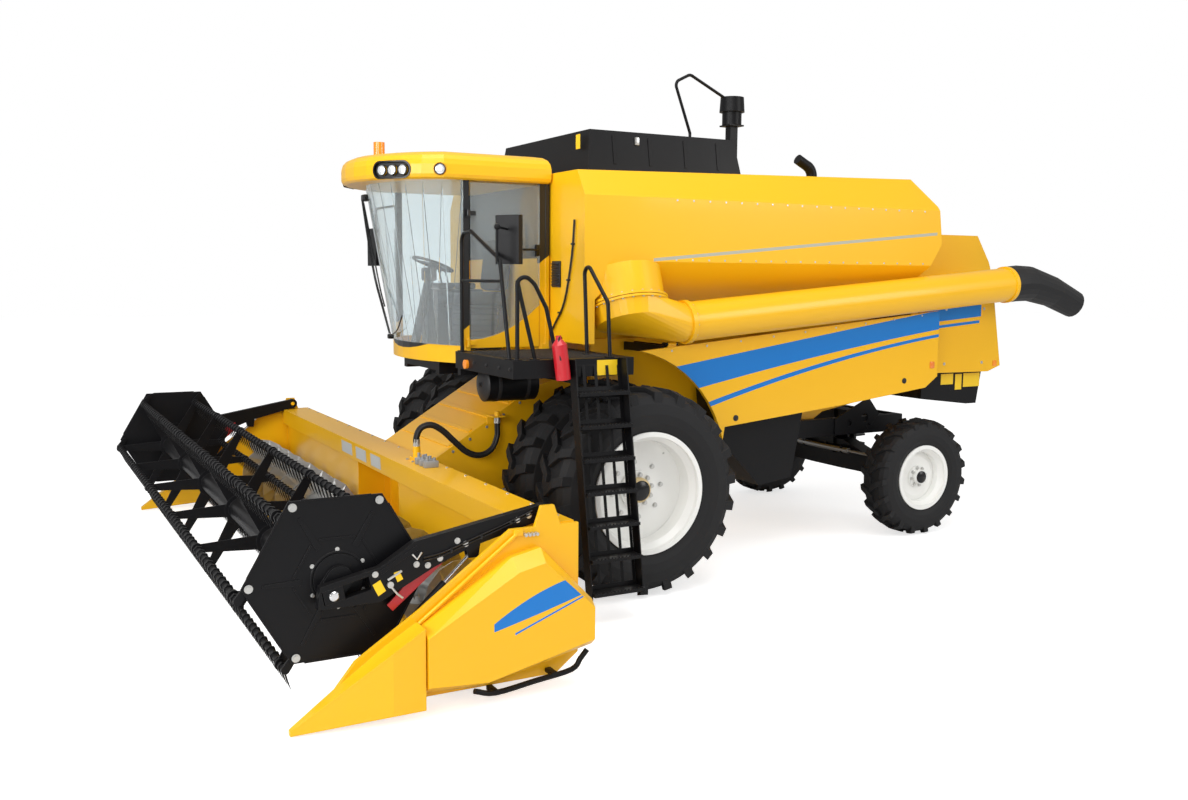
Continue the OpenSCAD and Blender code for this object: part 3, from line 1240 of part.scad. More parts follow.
module reel_rods() {
    color("silver") on_machine() both() {
        rod(reel_base + reel_dir * 70, reel_eye - reel_dir * 15, 26, 32);
        axle_pin(reel_eye.y, reel_eye.z, 44, reel_eye.x - 14, reel_eye.x + 14, 32);
    }
}

threshing_body();
chassis_frame();
shoe_shrouds();
grain_tank();
tank_extension();
straw_hood();
engine_hood();
engine_block();
chopper_housing();
chopper_rotor();
tank_fittings();
cab_shell();
cab_roof();
cab_glass();
cab_interior();
lamps();
door_panel();
door_glass();
mirrors();
platform();
ladder();
handrails();
extinguisher();
color("gold") on_machine() side_panel();  // side_panel_left
color("gold") on_machine() mirror([1, 0, 0]) side_panel();  // side_panel_right
auger_tube();
auger_spout();
rear_axle();
steering_ram();
color("#222222") drive_tyres();  // drive_tyres_left
color("white") drive_rims();  // drive_rims_left
color("#222222") mirror([1, 0, 0]) drive_tyres();  // drive_tyres_right
color("white") mirror([1, 0, 0]) drive_rims();  // drive_rims_right
color("black") knuckle();  // knuckle_left
color("black") mirror([1, 0, 0]) knuckle();  // knuckle_right
color("#222222") steer_tyre();  // steer_tyre_left
color("white") steer_rim();  // steer_rim_left
color("#222222") mirror([1, 0, 0]) steer_tyre();  // steer_tyre_right
color("white") mirror([1, 0, 0]) steer_rim();  // steer_rim_right
feeder_house();
feeder_hoses();
header_frame();
header_ends();
cutterbar();
table_auger();
reel_arms();
reel_props();
reel_carriers();
reel_core();
reel_plates();
tine_bar(0);  // tine_bar_1
tine_bar(1);  // tine_bar_2
tine_bar(2);  // tine_bar_3
tine_bar(3);  // tine_bar_4
tine_bar(4);  // tine_bar_5
tine_bar(5);  // tine_bar_6
lift_barrels();
lift_rods();
reel_barrels();
reel_rods();
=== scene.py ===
from math import cos, radians, sin, sqrt, tau

import bmesh
import bpy
from mathutils import Matrix, Vector
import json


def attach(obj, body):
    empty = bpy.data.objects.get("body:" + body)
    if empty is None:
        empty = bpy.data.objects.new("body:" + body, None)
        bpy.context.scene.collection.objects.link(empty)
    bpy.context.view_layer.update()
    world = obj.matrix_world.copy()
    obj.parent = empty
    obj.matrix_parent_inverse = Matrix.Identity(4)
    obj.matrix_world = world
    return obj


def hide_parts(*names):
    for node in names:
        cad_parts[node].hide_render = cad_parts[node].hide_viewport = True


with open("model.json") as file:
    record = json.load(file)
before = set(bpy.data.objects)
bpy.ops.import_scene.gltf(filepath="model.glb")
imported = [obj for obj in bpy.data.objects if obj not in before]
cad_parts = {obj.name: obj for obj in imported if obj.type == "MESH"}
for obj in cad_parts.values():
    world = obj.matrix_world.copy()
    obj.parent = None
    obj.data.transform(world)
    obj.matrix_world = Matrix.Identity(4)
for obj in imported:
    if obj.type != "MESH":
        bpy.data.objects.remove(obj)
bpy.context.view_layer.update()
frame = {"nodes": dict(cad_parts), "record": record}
nodes = frame["nodes"]

# The machine faces -Y, +X is its left side with the ladder, and Z is up, all in metres.
# Shapes are drawn with Y measured from the front axle, and moved into the machine's frame at the end.
AXLE_Y = -1.0766
WHEELBASE = 3.687
LEFT, AHEAD, UP = Vector((1, 0, 0)), Vector((0, -1, 0)), Vector((0, 0, 1))
SIDES = (("left", False), ("right", True))


def new_object(name, data):
    """A new object in the scene, showing some data."""
    thing = bpy.data.objects.new(name, data)
    bpy.context.scene.collection.objects.link(thing)
    return thing


# Camera, as solved from the photograph

PHOTO_WIDTH = 1188
FOCAL_PIXELS = 1105.13
SENSOR = 36.0
VIEW_END = 300
EYE = Vector((9.577, -4.683 + AXLE_Y, 2.643))
YAW = radians(28.76)
PITCH = radians(6.449)
ROLL = radians(0.441)


def make_camera():
    data = bpy.data.cameras.new("camera")
    data.sensor_width = SENSOR
    data.lens = FOCAL_PIXELS / PHOTO_WIDTH * SENSOR
    data.clip_end = VIEW_END
    camera = new_object("camera", data)
    ahead = Vector((-cos(YAW) * cos(PITCH), sin(YAW) * cos(PITCH), -sin(PITCH)))
    level = ahead.cross(UP).normalized()
    upright = level.cross(ahead)
    right = cos(ROLL) * level + sin(ROLL) * upright
    up = cos(ROLL) * upright - sin(ROLL) * level
    turn = Matrix((right, up, -ahead)).transposed().to_4x4()
    camera.matrix_world = Matrix.Translation(EYE) @ turn
    bpy.context.scene.camera = camera


make_camera()


# Shader helpers

EDGE_GAIN = 4.0
DUST_SCALE = 3.0
DUST_DETAIL = 8.0
SIDEWAYS = 0.6
ROUGH_SPREAD = 0.12
DUST_DULLING = 0.4
COAT_ROUGHNESS = 0.08
BUMP_STRENGTH = 0.5


def feed(tree, node, values):
    """Fills a node's inputs, by name or number, each from a socket, a plain number or an RGB triple."""
    for key, value in values.items():
        socket = node.inputs[key]
        if isinstance(value, (int, float)):
            socket.default_value = value
        elif isinstance(value, tuple):
            socket.default_value = (*value, 1)
        else:
            tree.links.new(value, socket)


def add(tree, kind, inputs=None, **values):
    """A shader node, with its plain properties set by name and its inputs filled."""
    node = tree.nodes.new(kind)
    for key, value in values.items():
        setattr(node, key, value)
    feed(tree, node, inputs or {})
    return node


def number(tree, operation, first, second=0.0, clamp=False):
    """A sum, product or comparison of two sockets or plain numbers."""
    return add(tree, "ShaderNodeMath", {0: first, 1: second}, operation=operation, use_clamp=clamp).outputs[0]


def blend_colour(tree, share, first, second):
    """A mix of two colours, each a socket or an RGB triple."""
    return add(tree, "ShaderNodeMix", {0: share, 6: first, 7: second}, data_type="RGBA").outputs[2]


def axes_of(tree, kind, label):
    """X, Y and Z of a vector that a new node of some kind gives."""
    return add(tree, "ShaderNodeSeparateXYZ", {0: add(tree, kind).outputs[label]}).outputs


def noise(tree, scale, detail):
    """Noise in the machine's own coordinates."""
    place = add(tree, "ShaderNodeTexCoord").outputs["Object"]
    return add(tree, "ShaderNodeTexNoise", {"Vector": place, "Scale": scale, "Detail": detail}).outputs["Fac"]


def group_with(name, inputs, outputs):
    """An empty shader group with number inputs and its outputs, then what it is given and its end node."""
    tree = bpy.data.node_groups.new(name, "ShaderNodeTree")
    for label, value in inputs.items():
        socket = tree.interface.new_socket(name=label, in_out="INPUT", socket_type="NodeSocketFloat")
        socket.default_value = value
    for label, kind in outputs.items():
        tree.interface.new_socket(name=label, in_out="OUTPUT", socket_type=f"NodeSocket{kind}")
    return tree, add(tree, "NodeGroupInput").outputs, add(tree, "NodeGroupOutput")


def make_edge_group():
    """Marks edges and rounds them a little: a mask along edges, where materials paint a highlight, and a
    softened normal.
    """
    tree, given, end = group_with("edge_softening", {"Radius": 0.004}, {"Edge": "Float", "Normal": "Vector"})
    soft = add(tree, "ShaderNodeBevel", {"Radius": given["Radius"]}, samples=4).outputs[0]
    flat = add(tree, "ShaderNodeNewGeometry").outputs["Normal"]
    dot = add(tree, "ShaderNodeVectorMath", {0: soft, 1: flat}, operation="DOT_PRODUCT").outputs["Value"]
    away = number(tree, "SUBTRACT", 1.0, dot)
    feed(tree, end, {"Edge": number(tree, "MULTIPLY", away, EDGE_GAIN, clamp=True), "Normal": soft})
    return tree


def make_mottle_group():
    """Slow variation of tone over a surface, and fine grain as a height."""
    tree, given, end = group_with("mottle_and_grain", {"Patch size": 0.4, "Grain size": 0.004},
                                  {"Patches": "Float", "Grain": "Float"})
    for label, detail, output in (("Patch size", 4.0, "Patches"), ("Grain size", 3.0, "Grain")):
        feed(tree, end, {output: noise(tree, number(tree, "DIVIDE", 1.0, given[label]), detail)})
    return tree


def make_dust_group():
    """A thin settling of dust on what faces up, broken up by noise."""
    tree, given, end = group_with("settled_dust", {"Amount": 0.2}, {"Dust": "Float"})
    upward = axes_of(tree, "ShaderNodeNewGeometry", "Normal")["Z"]
    facing = number(tree, "MULTIPLY", upward, noise(tree, DUST_SCALE, DUST_DETAIL), clamp=True)
    feed(tree, end, {"Dust": number(tree, "MULTIPLY", facing, given["Amount"], clamp=True)})
    return tree


def make_band_group():
    """A painted band on what faces sideways: it runs from Near to Far along Y, between two curved edges.

    The height of an edge is its start, plus slope times the share of the run, plus bend times the square."""
    labels = ["Near", "Far", "Least width"]
    labels += [f"{edge} {term}" for edge in ("Low", "High") for term in ("start", "slope", "bend")]
    tree, given, end = group_with("side_band", dict.fromkeys(labels, 0.0), {"Mask": "Float"})
    place = axes_of(tree, "ShaderNodeTexCoord", "Object")
    along = number(tree, "SUBTRACT", place["Y"], AXLE_Y)
    run = number(tree, "SUBTRACT", given["Far"], given["Near"])
    share = number(tree, "DIVIDE", number(tree, "SUBTRACT", along, given["Near"]), run)
    heights = []
    for edge in ("Low", "High"):
        climb = number(tree, "MULTIPLY", given[f"{edge} bend"], share)
        climb = number(tree, "ADD", climb, given[f"{edge} slope"])
        heights.append(number(tree, "ADD", number(tree, "MULTIPLY", climb, share), given[f"{edge} start"]))
    facing = number(tree, "ABSOLUTE", axes_of(tree, "ShaderNodeNewGeometry", "Normal")["X"])
    width = number(tree, "ABSOLUTE", place["X"])
    mask = 1.0
    for more, less in ((share, 0.0), (1.0, share), (place["Z"], heights[0]), (heights[1], place["Z"]),
                       (facing, SIDEWAYS), (width, given["Least width"])):
        mask = number(tree, "MULTIPLY", mask, number(tree, "GREATER_THAN", more, less))
    feed(tree, end, {"Mask": mask})
    return tree


def make_line_group():
    """Everything above a line that slopes in Y and Z, from its height at the windscreen's foot."""
    tree, given, end = group_with("above_line", {"Height": 1.985, "Slope": 0.8, "Start": -1.4},
                                  {"Mask": "Float"})
    place = axes_of(tree, "ShaderNodeTexCoord", "Object")
    along = number(tree, "SUBTRACT", number(tree, "SUBTRACT", place["Y"], AXLE_Y), given["Start"])
    line = number(tree, "ADD", number(tree, "MULTIPLY", along, given["Slope"]), given["Height"])
    feed(tree, end, {"Mask": number(tree, "GREATER_THAN", place["Z"], line)})
    return tree


edges = make_edge_group()
mottle = make_mottle_group()
dust = make_dust_group()
side_band = make_band_group()
above_line = make_line_group()


def use(tree, group, **values):
    """What a group gives when it is placed in a material, with its inputs set by name."""
    inputs = {key.replace("_", " ").capitalize(): value for key, value in values.items()}
    return add(tree, "ShaderNodeGroup", inputs, node_tree=group).outputs


def blank_material(name):
    material = bpy.data.materials.new(name)
    material.use_nodes = True
    tree = material.node_tree
    return material, tree, tree.nodes["Principled BSDF"]


def coated(name, colour, rough, metallic=0.0, coat=0.0, edge=None, edge_highlight_share=0.3, radius=0.004,
           patch=0.6, patch_depth=0.06, grain=0.004, grain_depth=0.0004, dusty=0.05,
           dust_colour=(0.52, 0.46, 0.36), bands=(), glow=0.0, specular=0.5, frame_colour=None):
    """A painted, moulded or bare surface with soft edges, a painted highlight along its edges where an edge
    colour is given, patches of tone, grain and a little dust.

    Each band is a colour and the band group's inputs."""
    material, tree, shader = blank_material(name)
    soft = use(tree, edges, radius=radius)
    spots = use(tree, mottle, patch_size=patch, grain_size=grain)
    settled = use(tree, dust, amount=dusty)["Dust"]
    darker = tuple(c * (1 - patch_depth) for c in colour)
    lighter = tuple(min(1.0, c * (1 + patch_depth)) for c in colour)
    base = blend_colour(tree, spots["Patches"], darker, lighter)
    # The edge colour is a painted highlight: a lighter tone along the rounded edges, where light would catch
    # them.
    if edge:
        share = number(tree, "MULTIPLY", soft["Edge"], edge_highlight_share, clamp=True)
        base = blend_colour(tree, share, base, edge)
    for paint, values in bands:
        base = blend_colour(tree, use(tree, side_band, **values)["Mask"], base, paint)
    if frame_colour:
        base = blend_colour(tree, use(tree, above_line)["Mask"], base, frame_colour)
    base = blend_colour(tree, settled, base, dust_colour)
    uneven = number(tree, "MULTIPLY", spots["Patches"], ROUGH_SPREAD)
    uneven = number(tree, "ADD", uneven, rough - ROUGH_SPREAD / 2)
    dulled = number(tree, "MULTIPLY", settled, DUST_DULLING)
    bump = add(tree, "ShaderNodeBump", {
        "Height": spots["Grain"], "Distance": grain_depth, "Strength": BUMP_STRENGTH,
        "Normal": soft["Normal"]})
    feed(tree, shader, {
        "Base Color": base, "Metallic": metallic, "Coat Weight": coat, "Coat Roughness": COAT_ROUGHNESS,
        "Specular IOR Level": specular, "Roughness": number(tree, "ADD", uneven, dulled, clamp=True),
        "Normal": bump.outputs[0]})
    if glow:
        feed(tree, shader, {"Emission Color": base, "Emission Strength": glow})
    return material


def glazing(name, colour, rough, share, lift):
    """Clear glass, thin enough to see through, with slow patches that are a little lighter."""
    material, tree, shader = blank_material(name)
    film = use(tree, mottle, patch_size=0.5, grain_size=0.01)["Patches"]
    clear = blend_colour(tree, film, colour, tuple(min(1.0, c * lift) for c in colour))
    feed(tree, shader, {"Transmission Weight": share, "IOR": 1.45, "Roughness": rough, "Base Color": clear})
    return material


# Finishes

YELLOW = (0.93, 0.5, 0.005)
BLUE = (0.0, 0.185, 0.6)
SILVER = (0.44, 0.45, 0.36)
BLACK = (0.005, 0.005, 0.006)


def band(near, far, low, high, width=0.0):
    """Inputs of a side band, from its edges' heights at the near end, halfway and at the far end."""
    values = {"near": near, "far": far, "least_width": width}
    for edge, (first, middle, last) in (("low", low), ("high", high)):
        values[edge + "_start"] = first
        values[edge + "_slope"] = 4 * middle - 3 * first - last
        values[edge + "_bend"] = 2 * (first + last) - 4 * middle
    return values


def enamel(name, bands=(), frame_colour=None):
    """The machine's yellow, with painted bands where they are given."""
    # The lighter yellow along the edges is a painted highlight.
    return coated(name, YELLOW, 0.34, coat=0.2, specular=0.4, edge=(0.96, 0.62, 0.08), radius=0.006,
                  patch=1.5, patch_depth=0.03, grain=0.012, grain_depth=0.0002, dusty=0.03, bands=bands,
                  frame_colour=frame_colour)


finishes = {
    "body_yellow": enamel("yellow_enamel"),
    # The grey along the black enamel's edges is a painted highlight.
    "black_metal": coated("black_enamel", BLACK, 0.4, specular=0.22, edge=(0.06, 0.06, 0.06),
                          edge_highlight_share=0.35, dusty=0.02),
    "rubber_black": coated("black_rubber", (0.009, 0.009, 0.01), 0.5, specular=0.35, grain=0.008,
                           grain_depth=0.0008),
    # The grey along the tyres' edges is a painted highlight.
    "tyre": coated("tyre_rubber", (0.012, 0.012, 0.013), 0.6, specular=0.3, edge=(0.05, 0.05, 0.05),
                   radius=0.008, grain=0.006, grain_depth=0.0008, dusty=0.08, dust_colour=(0.1, 0.095, 0.09)),
    "rim_white": coated("white_rim_enamel", (0.9, 0.9, 0.87), 0.3, coat=0.3, radius=0.005,
                        patch_depth=0.02),
    "clear_glass": glazing("cab_glass_pane", (0.86, 0.93, 0.95), rough=0.02, share=0.9, lift=1.04),
    "cast_grey": coated("grey_casting", (0.2, 0.2, 0.21), 0.6, grain_depth=0.001),
    "cab_trim": coated("cab_moulding", (0.055, 0.057, 0.062), 0.6, grain_depth=0.0006),
    "amber_lens": coated("amber_moulding", (0.85, 0.26, 0.01), 0.2, coat=0.5, glow=0.15),
    "red_paint": coated("red_enamel", (0.55, 0.01, 0.02), 0.3, coat=0.4),
    "bare_steel": coated("worn_steel", (0.42, 0.42, 0.41), 0.35, metallic=0.9, grain_depth=0.0003),
    "chrome_rod": coated("polished_rod", (0.75, 0.75, 0.76), 0.12, metallic=1.0, grain_depth=0.0),
}
panel_bands = enamel("yellow_enamel_side_panel", [
    (BLUE, band(0.4, 3.79, (1.56, 1.88, 2.13), (1.82, 2.075, 2.324))),
    (BLUE, band(0.7, 3.75, (1.4, 1.79, 2.047), (1.45, 1.83, 2.078)))])
tank_bands = enamel("yellow_enamel_tank", [
    (SILVER, band(0.32, 3.62, (2.762, 2.911, 3.06), (2.79, 2.939, 3.088)))])
hood_bands = enamel("yellow_enamel_hood", [
    (BLUE, band(3.8, 4.56, (2.18, 2.21, 2.24), (2.31, 2.35, 2.39))),
    (BLUE, band(3.8, 4.54, (2.11, 2.14, 2.17), (2.14, 2.17, 2.2)))])
shield_bands = enamel("yellow_enamel_shield", [
    (BLUE, band(-2.07, -1.45, (0.48, 0.556, 0.641), (0.53, 0.69, 0.77), 3.42)),
    (BLUE, band(-1.93, -1.45, (0.44, 0.53, 0.62), (0.454, 0.543, 0.633), 3.42))])
cab_frame = enamel("yellow_enamel_cab", frame_colour=(0.012, 0.012, 0.013))

# What a piece can look like: each finish under its slot's name, and others with the slot they belong to
LOOKS = {slot: (slot, material) for slot, material in finishes.items()} | {
    "black_steel": ("bare_steel", finishes["black_metal"]),
    "satin_grey": ("cast_grey", coated("satin_grey", (0.3, 0.31, 0.32), 0.4)),
    "dark_grey": ("black_metal", coated("dark_grey_moulding", (0.02, 0.02, 0.022), 0.45, specular=0.4)),
    "gloss_black": ("black_metal", coated("gloss_black", BLACK, 0.25, coat=0.1, specular=0.35)),
    "sticker_yellow": ("amber_lens", coated("sticker_yellow", (0.95, 0.62, 0.01), 0.4)),
    "sticker_grey": ("cast_grey", coated("sticker_grey", (0.55, 0.56, 0.55), 0.45)),
    "zinc": ("bare_steel", coated("zinc_bolts", (0.62, 0.62, 0.6), 0.3, metallic=0.8, radius=0.001)),
    "cream_hub": ("cast_grey", coated("cream_hub_casting", (0.72, 0.55, 0.28), 0.5, patch=0.05,
                                      patch_depth=0.25)),
    "lamp_glass": ("clear_glass", coated("lamp_glass", (0.8, 0.82, 0.84), 0.06, coat=1.0, metallic=0.4,
                                         radius=0.001)),
    "mirror_face": ("chrome_rod", coated("mirror_face", (0.72, 0.76, 0.78), 0.04, metallic=1.0,
                                         radius=0.001)),
    "seat_cloth": ("cab_trim", coated("seat_cloth", (0.045, 0.048, 0.056), 0.9, grain=0.003,
                                      grain_depth=0.0012)),
    "red_lens": ("red_paint", coated("red_lens", (0.6, 0.02, 0.01), 0.2, coat=0.6)),
    "orange_lens": ("amber_lens", coated("orange_lens", (0.85, 0.22, 0.02), 0.2, coat=0.6)),
}
LOOKS["orange_reflector"] = ("red_paint", LOOKS["orange_lens"][1])

ROLE_OF_NODE = {"side_panel_left": panel_bands, "side_panel_right": panel_bands, "grain_tank": tank_bands,
                "straw_hood": hood_bands, "header_ends": shield_bands, "cab_shell": cab_frame,
                "door_panel": cab_frame}


def dress_solids():
    """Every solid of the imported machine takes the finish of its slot, or its own painted bands."""
    slot_of = {part["node"]: part["material_slot"] for part in frame["record"]["subparts"]}
    for name, thing in nodes.items():
        thing.data.materials.clear()
        thing.data.materials.append(ROLE_OF_NODE.get(name, finishes[slot_of[name]]))


# Mesh helpers

def leaning(degrees, axis="X"):
    return Matrix.Rotation(radians(degrees), 4, axis)


def block(shape, low, high, bevel=0.0, turn=None):
    """A box between two corners, with bevelled edges, turned about its middle."""
    low, high = Vector(low), Vector(high)
    place = Matrix.Translation((low + high) / 2)
    if turn:
        place = place @ turn
    made = bmesh.ops.create_cube(shape, size=1, matrix=place @ Matrix.Diagonal((*(high - low), 1)))
    if bevel:
        sides = dict.fromkeys(edge for vertex in made["verts"] for edge in vertex.link_edges)
        bmesh.ops.bevel(shape, geom=list(sides), offset=bevel, segments=2, profile=0.5, affect="EDGES",
                        material=-1)


def drum(shape, start, end, radius, sides=24, end_radius=None):
    """A round bar or a cone between two points."""
    start, end = Vector(start), Vector(end)
    span = end - start
    if end_radius is None:
        end_radius = radius
    place = Matrix.Translation((start + end) / 2) @ span.to_track_quat("Z", "Y").to_matrix().to_4x4()
    bmesh.ops.create_cone(shape, cap_ends=True, segments=sides, radius1=radius, radius2=end_radius,
                          depth=span.length, matrix=place)


def slab(shape, outline, shift):
    """A flat outline of points, thickened by a shift."""
    near = [shape.verts.new(point) for point in outline]
    far = [shape.verts.new(Vector(point) + Vector(shift)) for point in outline]
    shape.faces.new(near[::-1])
    shape.faces.new(far)
    for i in range(len(near)):
        k = (i + 1) % len(near)
        shape.faces.new((near[i], near[k], far[k], far[i]))


def hollow(shape, outer, inner, shift):
    """A frame between two matching outlines, thickened by a shift."""
    still, moved = Vector(), Vector(shift)
    rings = [[shape.verts.new(Vector(point) + move) for point in line]
             for line, move in ((outer, still), (inner, still), (inner, moved), (outer, moved))]
    for first, second in zip(rings, rings[1:] + rings[:1]):
        for i in range(len(outer)):
            k = (i + 1) % len(outer)
            shape.faces.new((first[i], first[k], second[k], second[i]))


def turned(shape, centre, axis, profile, sides=48):
    """A profile of (radius, along) turned about an axis."""
    axis = Vector(axis).normalized()
    place = Matrix.Translation(centre) @ axis.to_track_quat("Z", "Y").to_matrix().to_4x4()
    points = [shape.verts.new(place @ Vector((radius, 0, along))) for radius, along in profile]
    lines = [shape.edges.new(pair) for pair in zip(points, points[1:])]
    bmesh.ops.spin(shape, geom=points + lines, cent=centre, axis=axis, angle=tau, steps=sides,
                   use_merge=True)


def smooth_path(points, steps=4):
    """A rounded line through points."""
    points = [Vector(point) for point in points]
    padded = [points[0] * 2 - points[1]] + points + [points[-1] * 2 - points[-2]]
    path = []
    for a, b, c, d in zip(padded, padded[1:], padded[2:], padded[3:]):
        for i in range(steps):
            t = i / steps
            path.append(0.5 * (2 * b + (c - a) * t + (2 * a - 5 * b + 4 * c - d) * t * t
                               + (3 * b - a - 3 * c + d) * t ** 3))
    return path + [points[-1]]


def tube(shape, points, radius, sides=10, offset=(0.0, 0.0)):
    """A tube along points, its middle set off to the side of the line by an offset."""
    points = [Vector(point) for point in points]
    rings = []
    side = None
    for i, point in enumerate(points):
        ahead = (points[min(i + 1, len(points) - 1)] - points[max(i - 1, 0)]).normalized()
        if side is None:
            side = ahead.cross(UP if abs(ahead.z) < 0.9 else -AHEAD).normalized()
        side = (side - ahead * side.dot(ahead)).normalized()
        up = ahead.cross(side)
        middle = point + side * offset[0] + up * offset[1]
        rings.append([shape.verts.new(middle + radius * (side * cos(a) + up * sin(a)))
                      for a in (tau * k / sides for k in range(sides))])
    for first, second in zip(rings, rings[1:]):
        for k in range(sides):
            n = (k + 1) % sides
            shape.faces.new((first[k], first[n], second[n], second[k]))
    shape.faces.new(rings[0][::-1])
    shape.faces.new(rings[-1])


def bolt(shape, place, axis, across=0.024, high=0.01):
    """A hexagon head on its washer."""
    place, axis = Vector(place), Vector(axis).normalized()
    drum(shape, place, place + axis * high * 0.3, across * 0.75, sides=16)
    drum(shape, place + axis * high * 0.3, place + axis * high, across * 0.55, sides=6)


def side_bolts(shape, face, across, high, places):
    """Bolts on a face that looks to the left, at places in Y and Z."""
    for y, z in places:
        bolt(shape, (face, y, z), LEFT, across, high)


def bolt_circle(shape, centre, axis, radius, count, across=0.024, first=0.0, high=0.01):
    """Bolts evenly spaced round a centre."""
    turn = Vector(axis).to_track_quat("Z", "Y")
    for i in range(count):
        a = first + tau * i / count
        arm = turn @ Vector((radius * cos(a), radius * sin(a), 0))
        bolt(shape, Vector(centre) + arm, axis, across, high)


def piece(name, body, look, shape, smooth=35, flip=False, both=False):
    """A finished object made from a shape, riding on a body; both adds its mirror image."""
    slot, material = LOOKS[look]
    if both:
        every = shape.verts[:] + shape.edges[:] + shape.faces[:]
        bmesh.ops.mirror(shape, geom=every, matrix=Matrix.Identity(4), merge_dist=0, axis="X")
    if flip:
        bmesh.ops.scale(shape, vec=(-1, 1, 1), verts=shape.verts)
    bmesh.ops.remove_doubles(shape, verts=shape.verts, dist=1e-5)
    bmesh.ops.recalc_face_normals(shape, faces=shape.faces)
    bmesh.ops.translate(shape, vec=(0, AXLE_Y, 0), verts=shape.verts)
    mesh = bpy.data.meshes.new(name)
    shape.to_mesh(mesh)
    shape.free()
    mesh.shade_smooth()
    mesh.set_sharp_from_angle(angle=radians(smooth))
    mesh.materials.append(material)
    thing = new_object(name, mesh)
    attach(thing, body)
    return thing


# Hoses beside the feeder, along the route of their solid

HOSE_ROUTE = [(0.73, -1.54, 1.19), (0.73, -1.54, 1.27), (0.734, -1.5, 1.345), (0.74, -1.41, 1.365),
              (0.746, -1.31, 1.31), (0.752, -1.2, 1.205), (0.756, -1.09, 1.11), (0.756, -0.97, 1.075),
              (0.752, -0.86, 1.12), (0.744, -0.805, 1.225), (0.74, -0.8, 1.32), (0.74, -0.8, 1.4)]
HOSE_RADIUS = 0.0135
HOSE_OFFSETS = ((0.014, 0.0), (-0.014, 0.0), (0.0, 0.014), (0.0, -0.014))


def make_hoses():
    path = smooth_path(HOSE_ROUTE)
    shape = bmesh.new()
    for offset in HOSE_OFFSETS:
        tube(shape, path, HOSE_RADIUS, 10, offset)
    hoses = piece("hydraulic_hoses", "header", "rubber_black", shape)
    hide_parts("feeder_hoses")


make_hoses()


def make_hose_fittings():
    """Swaged collars on the hoses at their couplers and at the feeder's bracket, and a valve block."""
    shape = bmesh.new()
    for x, y, low, high in ((0.73, -1.54, 1.1895, 1.25), (0.74, -0.8, 1.345, 1.3995)):
        for dx, dy in HOSE_OFFSETS:
            drum(shape, (x + dx, y + dy, low), (x + dx, y + dy, high), 0.0148, 16)
            drum(shape, (x + dx, y + dy, low + 0.004), (x + dx, y + dy, low + 0.018), 0.0175, 6)
    piece("hose_collars", "header", "zinc", shape)
    shape = bmesh.new()
    for x, y in ((0.66, -1.6), (0.66, -1.48), (0.8, -1.6), (0.8, -1.48)):
        bolt(shape, (x, y, BEAM_TOP_Z), UP, 0.018, 0.009)
    for x in (0.9, 1.0, 1.1):
        block(shape, (x, -1.62, BEAM_TOP_Z), (x + 0.05, -1.5, 1.125), 0.006)
        for y, top in ((-1.59, 1.165), (-1.53, 1.15)):
            drum(shape, (x + 0.025, y, 1.12), (x + 0.025, y, top), 0.012, 16)
    piece("beam_valve_block", "header", "satin_grey", shape)


# Cab

CAB_FLOOR_Z = 1.952
SEAT_RINGS = 6
RING_RISE = 0.052
STEER_MIDDLE = Vector((0, -1.105, 2.73))
STEER_TILT = Matrix.Rotation(radians(-20), 3, "X")
SLAT_LEAN = Matrix.Rotation(0.5, 4, "X")


def make_cab_inside():
    """A sprung seat with its arm console, and the steering column with its wheel and pedals."""
    shape = bmesh.new()
    block(shape, (-0.26, -0.98, 2.36), (0.26, -0.48, 2.48), 0.045)
    block(shape, (-0.24, -0.545, 2.49), (0.24, -0.425, 2.96), 0.05, leaning(-6))
    seat = piece("seat_cushions", "chassis", "seat_cloth", shape, smooth=50)
    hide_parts("cab_interior")

    shape = bmesh.new()
    block(shape, (-0.21, -0.88, CAB_FLOOR_Z), (0.21, -0.52, 2.02), 0.01)
    for level in range(SEAT_RINGS):
        z = 2.02 + level * RING_RISE
        half = 0.19 - 0.012 * (level % 2)
        block(shape, (-half, -0.86, z), (half, -0.54, z + RING_RISE), 0.012)
    block(shape, (-0.23, -0.92, 2.332), (0.23, -0.5, 2.362), 0.01)
    block(shape, (-0.48, -1.05, CAB_FLOOR_Z), (-0.3, -0.48, 2.5), 0.02)
    block(shape, (-0.46, -1.0, 2.5), (-0.32, -0.55, 2.56), 0.02)
    for x, y in ((-0.42, -0.95), (-0.37, -0.88), (-0.42, -0.8)):
        drum(shape, (x, y, 2.55), (x, y - 0.02, 2.66), 0.008, 10)
        bmesh.ops.create_uvsphere(shape, u_segments=12, v_segments=8, radius=0.018,
                                  matrix=Matrix.Translation((x, y - 0.02, 2.67)))
    block(shape, (-0.06, -1.34, CAB_FLOOR_Z), (0.06, -1.23, 2.0), 0.01)
    drum(shape, (0, -1.29, 1.97), (0, -1.14, 2.66), 0.042, 20, 0.03)
    block(shape, (-0.07, -1.2, 2.58), (0.07, -1.09, 2.7), 0.02)
    for side in (-0.12, 0.12):
        block(shape, (side - 0.04, -1.33, 1.99), (side + 0.04, -1.24, 2.01), 0.006, SLAT_LEAN)
    upward = STEER_TILT @ UP
    ring = [tau * k / 12 for k in range(13)]
    grip = [(0.183 + 0.013 * cos(a), 0.013 * sin(a)) for a in ring]
    turned(shape, STEER_MIDDLE, upward, grip, 40)
    for angle in (90, 210, 330):
        a = radians(angle)
        spoke = STEER_TILT @ Vector((0.18 * cos(a), 0.18 * sin(a), 0))
        drum(shape, STEER_MIDDLE, STEER_MIDDLE + spoke, 0.01, 10)
    drum(shape, STEER_MIDDLE - upward * 0.06, STEER_MIDDLE + upward * 0.02, 0.035, 20)
    piece("cab_controls", "chassis", "cab_trim", shape)


